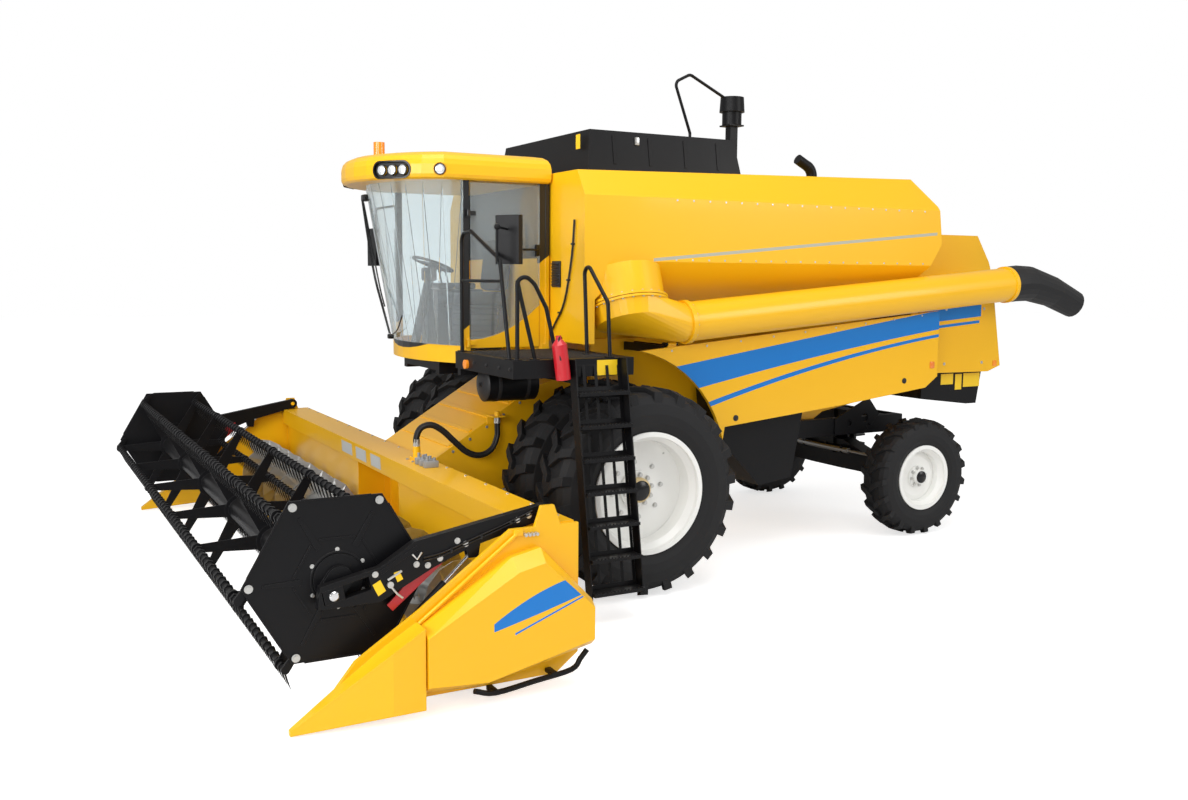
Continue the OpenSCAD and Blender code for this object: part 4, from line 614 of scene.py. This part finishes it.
ROOF_R = 1.04445
ROOF_FRONT_Y = -1.9
ROOF_MID_Z = 3.497
LONG_POCKET = 36
SHORT_POCKET = 60
POCKET_HALF = 0.115
POCKET_BACK = -0.0455
POCKET_LIP = -0.004


def roof_frame(degrees):
    """A point on the roof's curved face with its sideways and outward directions."""
    a = radians(degrees)
    side, out = Vector((cos(a), sin(a), 0)), Vector((sin(a), -cos(a), 0))
    return Vector((0, ROOF_FRONT_Y + ROOF_R, ROOF_MID_Z)) + out * ROOF_R, side, out


def pocket_outline(radius, depth, curved=False):
    """An outline with round ends in the long lamp pocket, bent to the roof's curve if asked."""
    place, side, out = roof_frame(LONG_POCKET)
    points = []
    for centre, first in ((POCKET_HALF, -90), (-POCKET_HALF, 90)):
        for k in range(13):
            a = radians(first + 15 * k)
            along = centre + radius * cos(a)
            back = ROOF_R - sqrt(ROOF_R ** 2 - along ** 2) if curved else 0.0
            points.append(place + side * along + Vector((0, 0, radius * sin(a))) - out * (back - depth))
    return points


def make_roof_lamps():
    """Round working lamps in the roof's front pockets, with a dark tub and lip in each long pocket."""
    rims, lenses = bmesh.new(), bmesh.new()
    for degrees, offsets, depth in ((LONG_POCKET, (-0.104, 0, 0.104), 0.022), (SHORT_POCKET, (0,), 0.008)):
        place, side, out = roof_frame(degrees)
        for offset in offsets:
            at = place + side * offset - out * depth
            turned(rims, at, out, [(0.03, 0.0), (0.043, 0.0), (0.046, 0.003), (0.046, 0.01), (0.041, 0.011),
                                   (0.039, 0.004), (0.03, 0.0)], 32)
            turned(lenses, at, out, [(0.0, 0.001), (0.0395, 0.001), (0.0385, 0.005), (0.03, 0.008),
                                     (0.015, 0.0095), (0.0, 0.01)], 32)
    out = roof_frame(LONG_POCKET)[2]
    slab(rims, pocket_outline(0.0625, POCKET_BACK), out * 0.004)
    piece("roof_lamp_rims", "chassis", "dark_grey", rims, both=True)
    piece("roof_lamp_lenses", "chassis", "lamp_glass", lenses, both=True)

    shape = bmesh.new()
    for outer, inner, depth, thick, curved in ((0.0638, 0.062, POCKET_BACK, 0.03, False),
                                               (0.075, 0.0622, POCKET_LIP, 0.006, True)):
        hollow(shape, pocket_outline(outer, depth, curved), pocket_outline(inner, depth, curved), out * thick)
    piece("roof_lamp_recess", "chassis", "gloss_black", shape, both=True)


SCREEN_LINE = ((2.081, -1.401), (2.344, -1.444), (2.771, -1.494), (3.02, -1.544), (3.282, -1.597))
SCREEN_GAP = 0.045
FRONT_WALL_Y = -0.349


def on_screen(x, z, gap=SCREEN_GAP):
    """A point just in front of the windscreen at a height."""
    for (z0, y0), (z1, y1) in zip(SCREEN_LINE, SCREEN_LINE[1:]):
        if z <= z1:
            break
    return Vector((x, y0 + (z - z0) / (z1 - z0) * (y1 - y0) - gap, z))


def make_cab_fittings():
    """Wipers, door handle, a louvre and a harness on the tank's front wall, and the beacon's foot."""
    shape = bmesh.new()
    blade = ((-0.333, 3.28), (-0.347, 3.02), (-0.362, 2.77), (-0.3, 2.5), (-0.234, 2.344))
    tube(shape, smooth_path([on_screen(x, z) for x, z in blade], 3), 0.007, 8)
    arm = [on_screen(x, z, SCREEN_GAP + 0.022)
           for x, z in ((-0.3, 3.3), (-0.37, 2.95), (-0.36, 2.6), (-0.25, 2.35), (-0.17, 2.1))]
    for shift in (0.0, 0.034):
        tube(shape, [point + Vector((shift, 0, 0)) for point in smooth_path(arm, 3)], 0.006, 8)
    for point in smooth_path(arm, 2)[1:-1]:
        tube(shape, [point, point + Vector((0.034, 0, 0.02))], 0.004, 6)
    block(shape, (-0.36, -1.66, 3.29), (-0.25, -1.6, 3.35), 0.01)
    tube(shape, smooth_path([(-0.274, -1.432, 2.068), (0.023, -1.462, 2.137), (0.209, -1.475, 2.275)]),
         0.006, 8)
    block(shape, (-0.3, -1.45, 2.045), (-0.24, -1.4, 2.09), 0.01)
    piece("windscreen_wipers", "chassis", "gloss_black", shape)

    shape = bmesh.new()
    tube(shape, smooth_path([(0.908, -0.665, 2.855), (0.938, -0.655, 2.855), (0.94, -0.58, 2.855),
                             (0.938, -0.512, 2.855), (0.908, -0.502, 2.855)]), 0.01, 10)
    block(shape, (0.905, -0.69, 2.83), (0.912, -0.64, 2.88), 0.002)
    block(shape, (0.905, -0.52, 2.8), (0.916, -0.475, 2.9), 0.004)
    piece("door_handle", "cab_door", "gloss_black", shape)

    shape = bmesh.new()
    block(shape, (0.928, FRONT_WALL_Y - 0.017, 2.536), (1.08, FRONT_WALL_Y, 2.761), 0.004)
    for i in range(8):
        z = 2.55 + i * 0.026
        block(shape, (0.938, -0.378, z), (1.07, -0.362, z + 0.012), 0.002, SLAT_LEAN)
    cable = ((1.346, 3.101), (1.302, 2.8), (1.175, 2.424), (1.008, 2.235), (0.93, 2.16))
    tube(shape, smooth_path([(x, FRONT_WALL_Y - 0.016, z) for x, z in cable]), 0.009, 8)
    for x, z in ((1.32, 2.9), (1.24, 2.6), (1.08, 2.32)):
        block(shape, (x - 0.015, FRONT_WALL_Y - 0.03, z - 0.008), (x + 0.015, FRONT_WALL_Y, z + 0.008),
              0.003)
    piece("front_wall_louvre_and_harness", "chassis", "dark_grey", shape)

    shape = bmesh.new()
    drum(shape, (-0.3, -1.475, 3.659), (-0.3, -1.475, 3.7), 0.062, 32, 0.056)
    piece("roof_trim", "chassis", "dark_grey", shape)


def make_mirror_glass():
    """The reflecting face of the outer mirror, towards the driver, and the extinguisher's hose."""
    shape = bmesh.new()
    turn = leaning(35, "Z")
    middle, half = Vector((1.65, -1.097, 2.912)), Vector((0.092, 0.001, 0.172))
    block(shape, middle - half, middle + half, 0.0, turn)
    bmesh.ops.translate(shape, vec=turn @ Vector((0, 0.0308, 0)), verts=shape.verts)
    piece("mirror_glass", "chassis", "mirror_face", shape)
    shape = bmesh.new()
    tube(shape, smooth_path([(2.118, -0.874, 2.165), (2.135, -0.9, 2.178), (2.15, -0.915, 2.1),
                             (2.168, -0.905, 2.0)]), 0.007, 8)
    piece("extinguisher_hose", "chassis", "rubber_black", shape)


# Header

BEAM_TOP_Z = 1.0698
SHEET_FACE_X = 3.3805


def make_header_details():
    """Skid tubes, divider struts, hose couplers, bolts and blank plates on the header's frame."""
    shape = bmesh.new()
    skid = ((-2.17, 0.1), (-2.028, 0.065), (-1.75, 0.095), (-1.498, 0.125), (-1.433, 0.189), (-1.385, 0.24))
    tube(shape, smooth_path([(3.5, y, z) for y, z in skid]), 0.018, 12)
    for y, z in ((-2.03, 0.065), (-1.62, 0.11)):
        block(shape, (3.4, y - 0.02, z - 0.01), (3.51, y + 0.02, z + 0.02), 0.004)
    piece("shield_skid_tubes", "header", "black_metal", shape, both=True)

    shape = bmesh.new()
    strut = ((3.42, -2.502, 0.5), (3.42, -2.49, 0.555), (3.42, -1.87, 1.014), (3.405, -1.83, 1.04))
    tube(shape, strut, 0.012, 12)
    block(shape, (3.382, -1.86, 1.015), (3.42, -1.8, 1.055), 0.004)
    piece("divider_struts", "header", "body_yellow", shape, both=True)

    shape = bmesh.new()
    block(shape, (SHEET_FACE_X, -1.8, 0.985), (3.392, -1.69, 1.05), 0.002)
    for i in range(4):
        y = -1.786 + 0.026 * i
        drum(shape, (3.39, y, 1.02), (3.435, y, 1.02), 0.011, 16)
        drum(shape, (3.405, y, 1.02), (3.418, y, 1.02), 0.0125, 6)
    piece("quick_couplers", "header", "zinc", shape)

    shape = bmesh.new()
    for x in [-3.2 + 0.4 * i for i in range(17)]:
        if abs(x) > 0.7 or abs(x) < 0.45:
            bolt(shape, (x, -1.45, 1.07), UP, 0.018, 0.008)
    piece("beam_bolts", "header", "zinc", shape)

    shape = bmesh.new()
    side_bolts(shape, SHEET_FACE_X + 0.0001, 0.02, 0.008, (
        (-1.47, 0.28), (-1.47, 0.5), (-1.47, 0.95), (-1.7, 1.0), (-1.95, 0.95), (-2.2, 0.78), (-2.4, 0.63)))
    piece("end_sheet_bolts", "header", "zinc", shape, both=True)

    shape = bmesh.new()
    for x0, x1 in ((-0.9, -0.56), (-0.43, -0.12), (0.02, 0.3)):
        slab(shape, [(x0, -1.7173, 0.93), (x1, -1.7173, 0.93), (x1, -1.7238, 1.04), (x0, -1.7238, 1.04)],
             (0, -0.002, 0))
    piece("header_beam_plates", "header", "sticker_grey", shape)


KNIFE_PITCH = 0.0762
KNIFE_HALF = 3.3


def make_knife():
    """Pointed guards along the knife, with the sections between them and the bar behind."""
    shape = bmesh.new()
    count = int(KNIFE_HALF / KNIFE_PITCH)
    for i in range(-count, count + 1):
        x = i * KNIFE_PITCH
        tip = shape.verts.new((x, -2.552, 0.1035))
        ring = [shape.verts.new((x + dx, -2.47, z))
                for dx, z in ((-0.013, 0.0975), (0.013, 0.0975), (0.011, 0.1095), (-0.011, 0.1095))]
        back = [shape.verts.new((x + dx, -2.432, z))
                for dx, z in ((-0.016, 0.0965), (0.016, 0.0965), (0.016, 0.1098), (-0.016, 0.1098))]
        for k in range(4):
            n = (k + 1) % 4
            shape.faces.new((ring[k], ring[n], tip))
            shape.faces.new((back[k], back[n], ring[n], ring[k]))
        shape.faces.new(back)
    piece("knife_guards", "header", "bare_steel", shape)
    shape = bmesh.new()
    for i in range(-count, count):
        x = (i + 0.5) * KNIFE_PITCH
        outline = ((-0.036, -2.434), (0.036, -2.434), (0.008, -2.515), (-0.008, -2.515))
        slab(shape, [(x + dx, y, 0.1005) for dx, y in outline], (0, 0, 0.003))
    piece("knife_sections", "header", "bare_steel", shape)
    shape = bmesh.new()
    block(shape, (-3.365, -2.449, 0.0965), (3.365, -2.431, 0.1095), 0.002)
    bar = piece("knife_bar", "header", "black_steel", shape)
    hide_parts("cutterbar")


# Reel

ARM_FACE_X = 3.3295
PIPE_X = 3.3365


def make_arm_details():
    """Stickers, bolts, a guide strip and pivot caps on the reel's lift arms."""
    shape = bmesh.new()
    for outline in (((-2.748, 0.8), (-2.7, 0.825), (-2.665, 0.755), (-2.713, 0.727)),
                    ((-2.616, 0.858), (-2.581, 0.867), (-2.557, 0.813), (-2.593, 0.798))):
        slab(shape, [(ARM_FACE_X, y, z) for y, z in outline], (0.0015, 0, 0))
    piece("arm_stickers", "reel_lift_arms", "sticker_yellow", shape, both=True)
    shape = bmesh.new()
    side_bolts(shape, ARM_FACE_X, 0.026, 0.01, (
        (-2.73, 0.862), (-2.472, 0.893), (-2.321, 0.913), (-2.4, 0.879), (-2.207, 1.01), (-2.152, 0.985),
        (-1.72, 1.12), (-1.8, 1.1)))
    drum(shape, (3.329, -2.64, 0.79), (3.345, -2.64, 0.79), 0.02, 20)
    tube(shape, [(3.338, -2.645, 0.79), (3.342, -2.6, 0.73), (3.34, -2.565, 0.7)], 0.007, 10)
    piece("arm_bolts", "reel_lift_arms", "zinc", shape, both=True)
    shape = bmesh.new()
    guide = ((-2.7, 0.88), (-2.47, 1.01), (-2.455, 0.985), (-2.69, 0.858))
    slab(shape, [(ARM_FACE_X, y, z) for y, z in guide], (0.004, 0, 0))
    turned(shape, (3.3293, -1.62, 1.135), LEFT,
           [(0.026, 0.0), (0.04, 0.0), (0.04, 0.008), (0.034, 0.014), (0.026, 0.014), (0.026, 0.0)], 32)
    piece("arm_pivot_caps", "reel_lift_arms", "black_metal", shape, both=True)


def make_arm_pipes():
    """Hard pipes clipped along the lift arms, and the latch gear at their front ends."""
    shape = bmesh.new()
    line = ((-1.7, 1.15), (-1.9, 1.08), (-2.1, 1.015), (-2.3, 0.95), (-2.43, 0.93))
    for drop in (0.0, 0.018):
        tube(shape, smooth_path([(PIPE_X, y, z - drop) for y, z in line]), 0.006, 8)
    for y, z in ((-1.85, 1.088), (-2.05, 1.022), (-2.25, 0.957)):
        block(shape, (3.329, y - 0.008, z - 0.018), (3.346, y + 0.008, z + 0.018), 0.003)
    piece("arm_pipes", "reel_lift_arms", "gloss_black", shape, both=True)
    shape = bmesh.new()
    block(shape, (ARM_FACE_X, -2.66, 0.835), (ARM_FACE_X + 0.006, -2.56, 0.85), 0.002, leaning(28))
    tube(shape, [(3.336, -2.5, 0.96), (3.336, -2.47, 0.925), (3.336, -2.44, 0.965)], 0.006, 8)
    piece("arm_latches", "reel_lift_arms", "zinc", shape, both=True)


PLATE_MIDDLE = Vector((3.2202, -2.925, 0.84))
PLATE_RISE = 0.008
CORNER_RADIUS = 0.52
RIB_RISE = (0.005, 0, 0)


def around(radius, angle):
    """A point on the face of the reel's end plate, at a radius and angle from its middle."""
    return PLATE_MIDDLE + radius * Vector((0, cos(angle), sin(angle)))


def make_plate_details():
    """Corner bolts, pressed ribs and an inner hexagon on the reel's end plates."""
    bolts, ribs = bmesh.new(), bmesh.new()
    for k in range(6):
        a = radians(60 * k)
        b = radians(60 * k + 60)
        bolt(bolts, around(CORNER_RADIUS, a) + PLATE_RISE * LEFT, LEFT, 0.034, 0.012)
        across = Vector((0, -sin(a), cos(a)))
        inner, outer = around(0.215, a), around(0.44, a)
        slab(ribs, [inner - across * 0.018, outer - across * 0.01, outer + across * 0.01,
                    inner + across * 0.018], RIB_RISE)
        for radius, width in ((0.27, 0.012), (0.535, 0.01)):
            first, second = around(radius, a + 0.12), around(radius, b - 0.12)
            inward = (PLATE_MIDDLE - (first + second) / 2).normalized() * width
            slab(ribs, [first, second, second + inward, first + inward], RIB_RISE)
        bolt(bolts, around(0.175, a + radians(30)), LEFT, 0.018, 0.006)
    turned(ribs, PLATE_MIDDLE, LEFT,
           [(0.152, -0.001), (0.152, 0.005), (0.164, 0.005), (0.168, 0.0), (0.168, -0.001), (0.152, -0.001)])
    piece("end_plate_bolts", "reel_end_shields", "zinc", bolts, both=True)
    piece("end_plate_pressings", "reel_end_shields", "black_metal", ribs, both=True)


# Plates, reflectors, lamps and bolts on the body

SHROUD_FACE_X = 1.1402
PANEL_FACE_X = 1.4502
HOOD_FACE_X = 1.2502
TANK_FACE_X = 1.4998
FEEDER_FACE_X = 0.6498
REAR_LEAN = leaning(10.5)


def make_stickers():
    """Blank warning plates in their places, reflectors, panel latches and the hood's side lamps."""
    shape = bmesh.new()
    for y0, z0, y1, z1 in ((4.126, 1.518, 4.305, 1.632), (4.336, 1.457, 4.432, 1.624),
                           (4.456, 1.482, 4.7, 1.629)):
        block(shape, (SHROUD_FACE_X, y0, z0), (SHROUD_FACE_X + 0.0015, y1, z1))
    block(shape, (2.0602, -0.533, 1.865), (2.0617, -0.352, 1.985))
    block(shape, (0.73, -0.0312, 3.75), (0.81, -0.0302, 3.877))
    piece("warning_plates", "chassis", "sticker_yellow", shape)
    for side, flip in SIDES:
        shape = bmesh.new()
        block(shape, (PANEL_FACE_X, 3.64, 1.735), (1.458, 3.7, 1.8), 0.003)
        piece(f"reflector_{side}", f"{side}_panel", "orange_reflector", shape, flip=flip)
        shape = bmesh.new()
        for y, z in ((1.25, 1.36), (3.3, 1.62)):
            drum(shape, (PANEL_FACE_X, y, z), (1.4545, y, z), 0.028, 24)
            block(shape, (1.454, y - 0.006, z - 0.02), (1.459, y + 0.006, z + 0.02), 0.002)
        piece(f"panel_latches_{side}", f"{side}_panel", "dark_grey", shape, flip=flip)
    shape = bmesh.new()
    block(shape, (HOOD_FACE_X, 4.765, 1.705), (1.256, 4.825, 1.765), 0.003)
    piece("hood_side_lamps", "chassis", "amber_lens", shape, both=True)


def make_rear_details():
    """Tail lamps on dark bases and a blank plate, on the sloping rear sheet of the hood."""
    for name, look, low, high in (
            ("tail_lamp_bases", "dark_grey", (0.98, 4.851, 1.765), (1.22, 4.874, 1.865)),
            ("tail_lamp_red", "red_lens", (0.995, 4.868, 1.775), (1.1, 4.886, 1.855)),
            ("tail_lamp_amber", "orange_lens", (1.11, 4.868, 1.775), (1.205, 4.886, 1.855))):
        shape = bmesh.new()
        block(shape, low, high, 0.006, REAR_LEAN)
        piece(name, "chassis", look, shape, both=True)
    shape = bmesh.new()
    block(shape, (-0.26, 4.85, 1.83), (0.26, 4.856, 1.94), 0.001, REAR_LEAN)
    for x in (-0.22, 0.22):
        bolt(shape, (x, 4.857, 1.915), (0, 0.983, 0.183), 0.016, 0.006)
    piece("rear_plate", "chassis", "rim_white", shape)
    shape = bmesh.new()
    side_bolts(shape, HOOD_FACE_X, 0.022, 0.008, (
        (4.05, 1.75), (4.05, 2.32), (4.6, 1.75), (4.6, 2.32), (4.33, 2.36)))
    piece("hood_bolts", "chassis", "zinc", shape, both=True)


def make_sheet_bolts():
    """Rows of small bolts on the tank, the side panels and the feeder house, and the reel's bearing caps."""
    shape = bmesh.new()
    rows = [(0.55 + 0.17 * i, z) for i in range(18) for z in (2.778, 3.285)]
    side_bolts(shape, TANK_FACE_X, 0.012, 0.005, rows)
    piece("tank_seam_bolts", "chassis", "zinc", shape, both=True)
    for side, flip in SIDES:
        shape = bmesh.new()
        row = [(y, 1.939 + 0.0933 * y) for y in (0.55 + 0.37 * i for i in range(9))]
        side_bolts(shape, PANEL_FACE_X - 0.0004, 0.013, 0.005, row)
        piece(f"panel_bolts_{side}", f"{side}_panel", "zinc", shape, flip=flip)
    shape = bmesh.new()
    for count, foot, slope in ((6, 0.97, 0.62), (4, 0.34, 0.72)):
        row = [(y, foot + slope * (y + 1.4)) for y in (-1.34 + 0.16 * i for i in range(count))]
        side_bolts(shape, FEEDER_FACE_X, 0.018, 0.007, row)
    piece("feeder_bolts", "header", "zinc", shape, both=True)
    shape = bmesh.new()
    turned(shape, (3.3302, -2.98, 0.765), LEFT,
           [(0.0, 0.0), (0.03, 0.0), (0.03, 0.012), (0.022, 0.02), (0.0, 0.022)], 32)
    piece("reel_bearing_caps", "reel_slide_blocks", "chrome_rod", shape, both=True)


# Wheels

DRIVE_HUB = Vector((1.8195, 0, 0.87))
STEER_HUB = Vector((1.305, WHEELBASE, 0.6))


def make_hub_details():
    """Nuts and a cap on every outer rim, and a waxed hub casting on the drive wheels."""
    for side, flip in SIDES:
        shape = bmesh.new()
        bolt_circle(shape, DRIVE_HUB, LEFT, 0.128, 10, 0.03, 0.2, 0.024)
        bolt_circle(shape, DRIVE_HUB - 0.03 * LEFT, LEFT, 0.235, 8, 0.03, 0.1, 0.02)
        drum(shape, (1.772, 0.257, 1.15), (1.8, 0.262, 1.16), 0.006, 10)
        piece(f"drive_wheel_nuts_{side}", f"drive_wheels_{side}", "zinc", shape, flip=flip)
        shape = bmesh.new()
        turned(shape, DRIVE_HUB, LEFT, [(0.085, -0.002), (0.108, -0.002), (0.104, 0.03), (0.092, 0.05),
                                        (0.085, 0.05), (0.085, -0.002)])
        piece(f"drive_hub_casting_{side}", f"drive_wheels_{side}", "cream_hub", shape, flip=flip)
        shape = bmesh.new()
        turned(shape, DRIVE_HUB, LEFT,
               [(0.0, 0.0), (0.086, 0.0), (0.086, 0.046), (0.06, 0.062), (0.0, 0.066)], 40)
        piece(f"drive_hub_cap_{side}", f"drive_wheels_{side}", "gloss_black", shape, flip=flip)
        shape = bmesh.new()
        bolt_circle(shape, STEER_HUB, LEFT, 0.093, 8, 0.024, 0.2, 0.02)
        piece(f"steer_wheel_nuts_{side}", f"steer_wheel_{side}", "zinc", shape, flip=flip)
        shape = bmesh.new()
        turned(shape, STEER_HUB, LEFT,
               [(0.0, 0.0445), (0.062, 0.0445), (0.062, 0.055), (0.045, 0.066), (0.0, 0.068)], 32)
        piece(f"steer_hub_cap_{side}", f"steer_wheel_{side}", "gloss_black", shape, flip=flip)


# Ladder and platform

TREADS = 7
TREAD_RISE = 0.25
LADDER_TOP = Vector((2.102, 0, 2.0))
LADDER_LEAN = 0.3 / 1.75
RESERVOIR_X = 1.05
RESERVOIR_Z = 1.725


def ladder_x(z, offset):
    """How far out a point on the leaning ladder is, at a height and an offset from its rails."""
    return LADDER_TOP.x + LADDER_LEAN * (LADDER_TOP.z - z) + offset


def make_ladder_details():
    """Slotted plates behind the treads with teeth on the treads, and straps and bars on the platform."""
    shape = bmesh.new()

    def strip(y0, y1, z0, z1):
        x0, x1 = ladder_x(z0, -0.05), ladder_x(z1, -0.05)
        slab(shape, [(x0, y0, z0), (x0, y1, z0), (x1, y1, z1), (x1, y0, z1)], (-0.003, 0, 0))

    for i in range(TREADS):
        low = (i + 1) * TREAD_RISE
        high = low + TREAD_RISE - 0.025
        strip(-0.771, -0.329, low - 0.001, low + 0.03)
        strip(-0.771, -0.329, high - 0.03, high + 0.001)
        for k in range(5):
            y = -0.77 + k * 0.1035
            strip(y, y + 0.026, low + 0.029, high - 0.029)
        back = ladder_x(low, 0.086)
        for k in range(14):
            y = -0.76 + k * 0.0305
            tooth = ((0.0, -0.002), (0.018, -0.002), (0.012, 0.012), (0.006, 0.012))
            slab(shape, [(back, y + dy, low + dz) for dy, dz in tooth], (0.004, 0, 0))
    piece("ladder_plates", "chassis", "black_metal", shape)

    shape = bmesh.new()
    for y in (-0.98, -0.72):
        turned(shape, (RESERVOIR_X, y, RESERVOIR_Z), -AHEAD,
               [(0.1455, 0.0), (0.1485, 0.0), (0.1485, 0.03), (0.1455, 0.03), (0.1455, 0.0)], 40)
    turned(shape, (RESERVOIR_X, -1.0605, RESERVOIR_Z), AHEAD,
           [(0.138, 0.0), (0.125, 0.012), (0.06, 0.022), (0.0, 0.024)], 40)
    bolt(shape, (RESERVOIR_X, -1.083, RESERVOIR_Z), AHEAD, 0.03, 0.02)
    for x in (1.3, 1.55, 1.8, 2.0):
        bolt(shape, (x, -1.2502, 1.93), AHEAD, 0.02, 0.008)
    for i in range(20):
        x = 0.98 + 0.052 * i
        block(shape, (x, -1.18, 1.9995), (x + 0.012, -0.3, 2.0035), 0.001)
    piece("platform_tread_and_straps", "chassis", "dark_grey", shape)


# Tank

TUBE_START = Vector((1.54, 0.62, 2.245))
TUBE_ALONG = Vector((0, cos(radians(4.8)), sin(radians(4.8))))
EXTENSION_LEAN = 0.1714
RING = Vector((1.42, 0.12, 2.39))
RING_AXIS = Vector((-sin(radians(20)), 0, cos(radians(20))))
RING_BOLTS = 24
RING_RADIUS = 0.335


def make_tank_details():
    """Bolts round the swing ring and the auger's flange, and ribs and a latch on the extension."""
    fixed, moving = bmesh.new(), bmesh.new()
    turn = RING_AXIS.to_track_quat("Z", "Y")
    for i in range(RING_BOLTS):
        a = tau * (i + 0.5) / RING_BOLTS
        place = RING + turn @ (RING_RADIUS * Vector((cos(a), sin(a), 0)))
        if place.x > 1.53:
            bolt(fixed, place + RING_AXIS * 0.022, RING_AXIS, 0.016, 0.007)
        bolt(moving, place - RING_AXIS * 0.0262, -RING_AXIS, 0.016, 0.007)
    piece("swing_ring_bolts", "chassis", "zinc", fixed)
    bolt_circle(moving, TUBE_START + TUBE_ALONG * 0.022, TUBE_ALONG, 0.182, 12, 0.013, 0.1, 0.006)
    piece("auger_flange_bolts", "unloading_auger", "zinc", moving)

    shape = bmesh.new()
    for y in (0.25, 0.62, 1.0, 1.36):
        corners = ((3.62, -0.012), (3.62, 0.012), (3.87, 0.012), (3.87, -0.012))
        slab(shape, [(0.9805 - (z - 3.4) * EXTENSION_LEAN, y + shift, z) for z, shift in corners],
             (0.006, 0, 0.001))
    piece("extension_ribs", "chassis", "black_metal", shape, both=True)
    shape = bmesh.new()
    block(shape, (0.9, 0.47, 3.8), (0.925, 0.51, 3.87), 0.004)
    piece("extension_latch", "chassis", "zinc", shape)


for make in (make_cab_inside, make_roof_lamps, make_cab_fittings, make_header_details, make_knife,
             make_arm_details, make_plate_details, make_hub_details, make_ladder_details,
             make_stickers, make_tank_details, make_hose_fittings, make_sheet_bolts, make_rear_details,
             make_arm_pipes, make_mirror_glass):
    make()


# Stage

FLOOR_HALF = 60
FLOOR_GLOW = 0.67
SKY_LIGHT = 0.4
SKY_SEEN = 0.6


def seen_directly(tree):
    """One for what the camera sees, straight or through glass, and zero for light that bounces."""
    path = add(tree, "ShaderNodeLightPath").outputs
    return number(tree, "ADD", path["Is Camera Ray"], path["Is Transmission Ray"], clamp=True)


def make_stage():
    """A pale floor that meets a white surround."""
    mesh = bpy.data.meshes.new("floor")
    shape = bmesh.new()
    bmesh.ops.create_grid(shape, x_segments=1, y_segments=1, size=FLOOR_HALF)
    shape.to_mesh(mesh)
    shape.free()
    floor = new_object("floor", mesh)
    material, tree, shader = blank_material("pale_floor")
    glow = number(tree, "MULTIPLY", seen_directly(tree), FLOOR_GLOW)
    feed(tree, shader, {"Base Color": (0.82, 0.82, 0.82), "Roughness": 0.6, "Emission Color": (1, 1, 1),
                        "Emission Strength": glow})
    mesh.materials.append(material)

    world = bpy.data.worlds.new("studio")
    bpy.context.scene.world = world
    world.use_nodes = True
    tree = world.node_tree
    strength = number(tree, "ADD", number(tree, "MULTIPLY", seen_directly(tree), SKY_SEEN), SKY_LIGHT)
    feed(tree, tree.nodes["Background"], {"Color": (1, 1, 1), "Strength": strength})


def lamp(name, place, aim, size, power):
    data = bpy.data.lights.new(name, "AREA")
    data.size = size
    data.energy = power
    thing = new_object(name, data)
    thing.location = place
    thing.rotation_mode = "QUATERNION"
    thing.rotation_quaternion = (Vector(aim) - Vector(place)).to_track_quat("-Z", "Y")


make_stage()
lamp("overhead", (4, -3, 11), (0, 0, 1), size=9, power=760)
lamp("front_left", (12, -12, 6), (1, -2, 1), size=6, power=600)
lamp("header_fill", (4, -16, 5), (0, -3, 0.8), size=6, power=900)
lamp("rear_left", (12, 9, 7), (0, 1, 1.5), size=6, power=500)
dress_solids()

bpy.context.scene.view_settings.view_transform = "Standard"
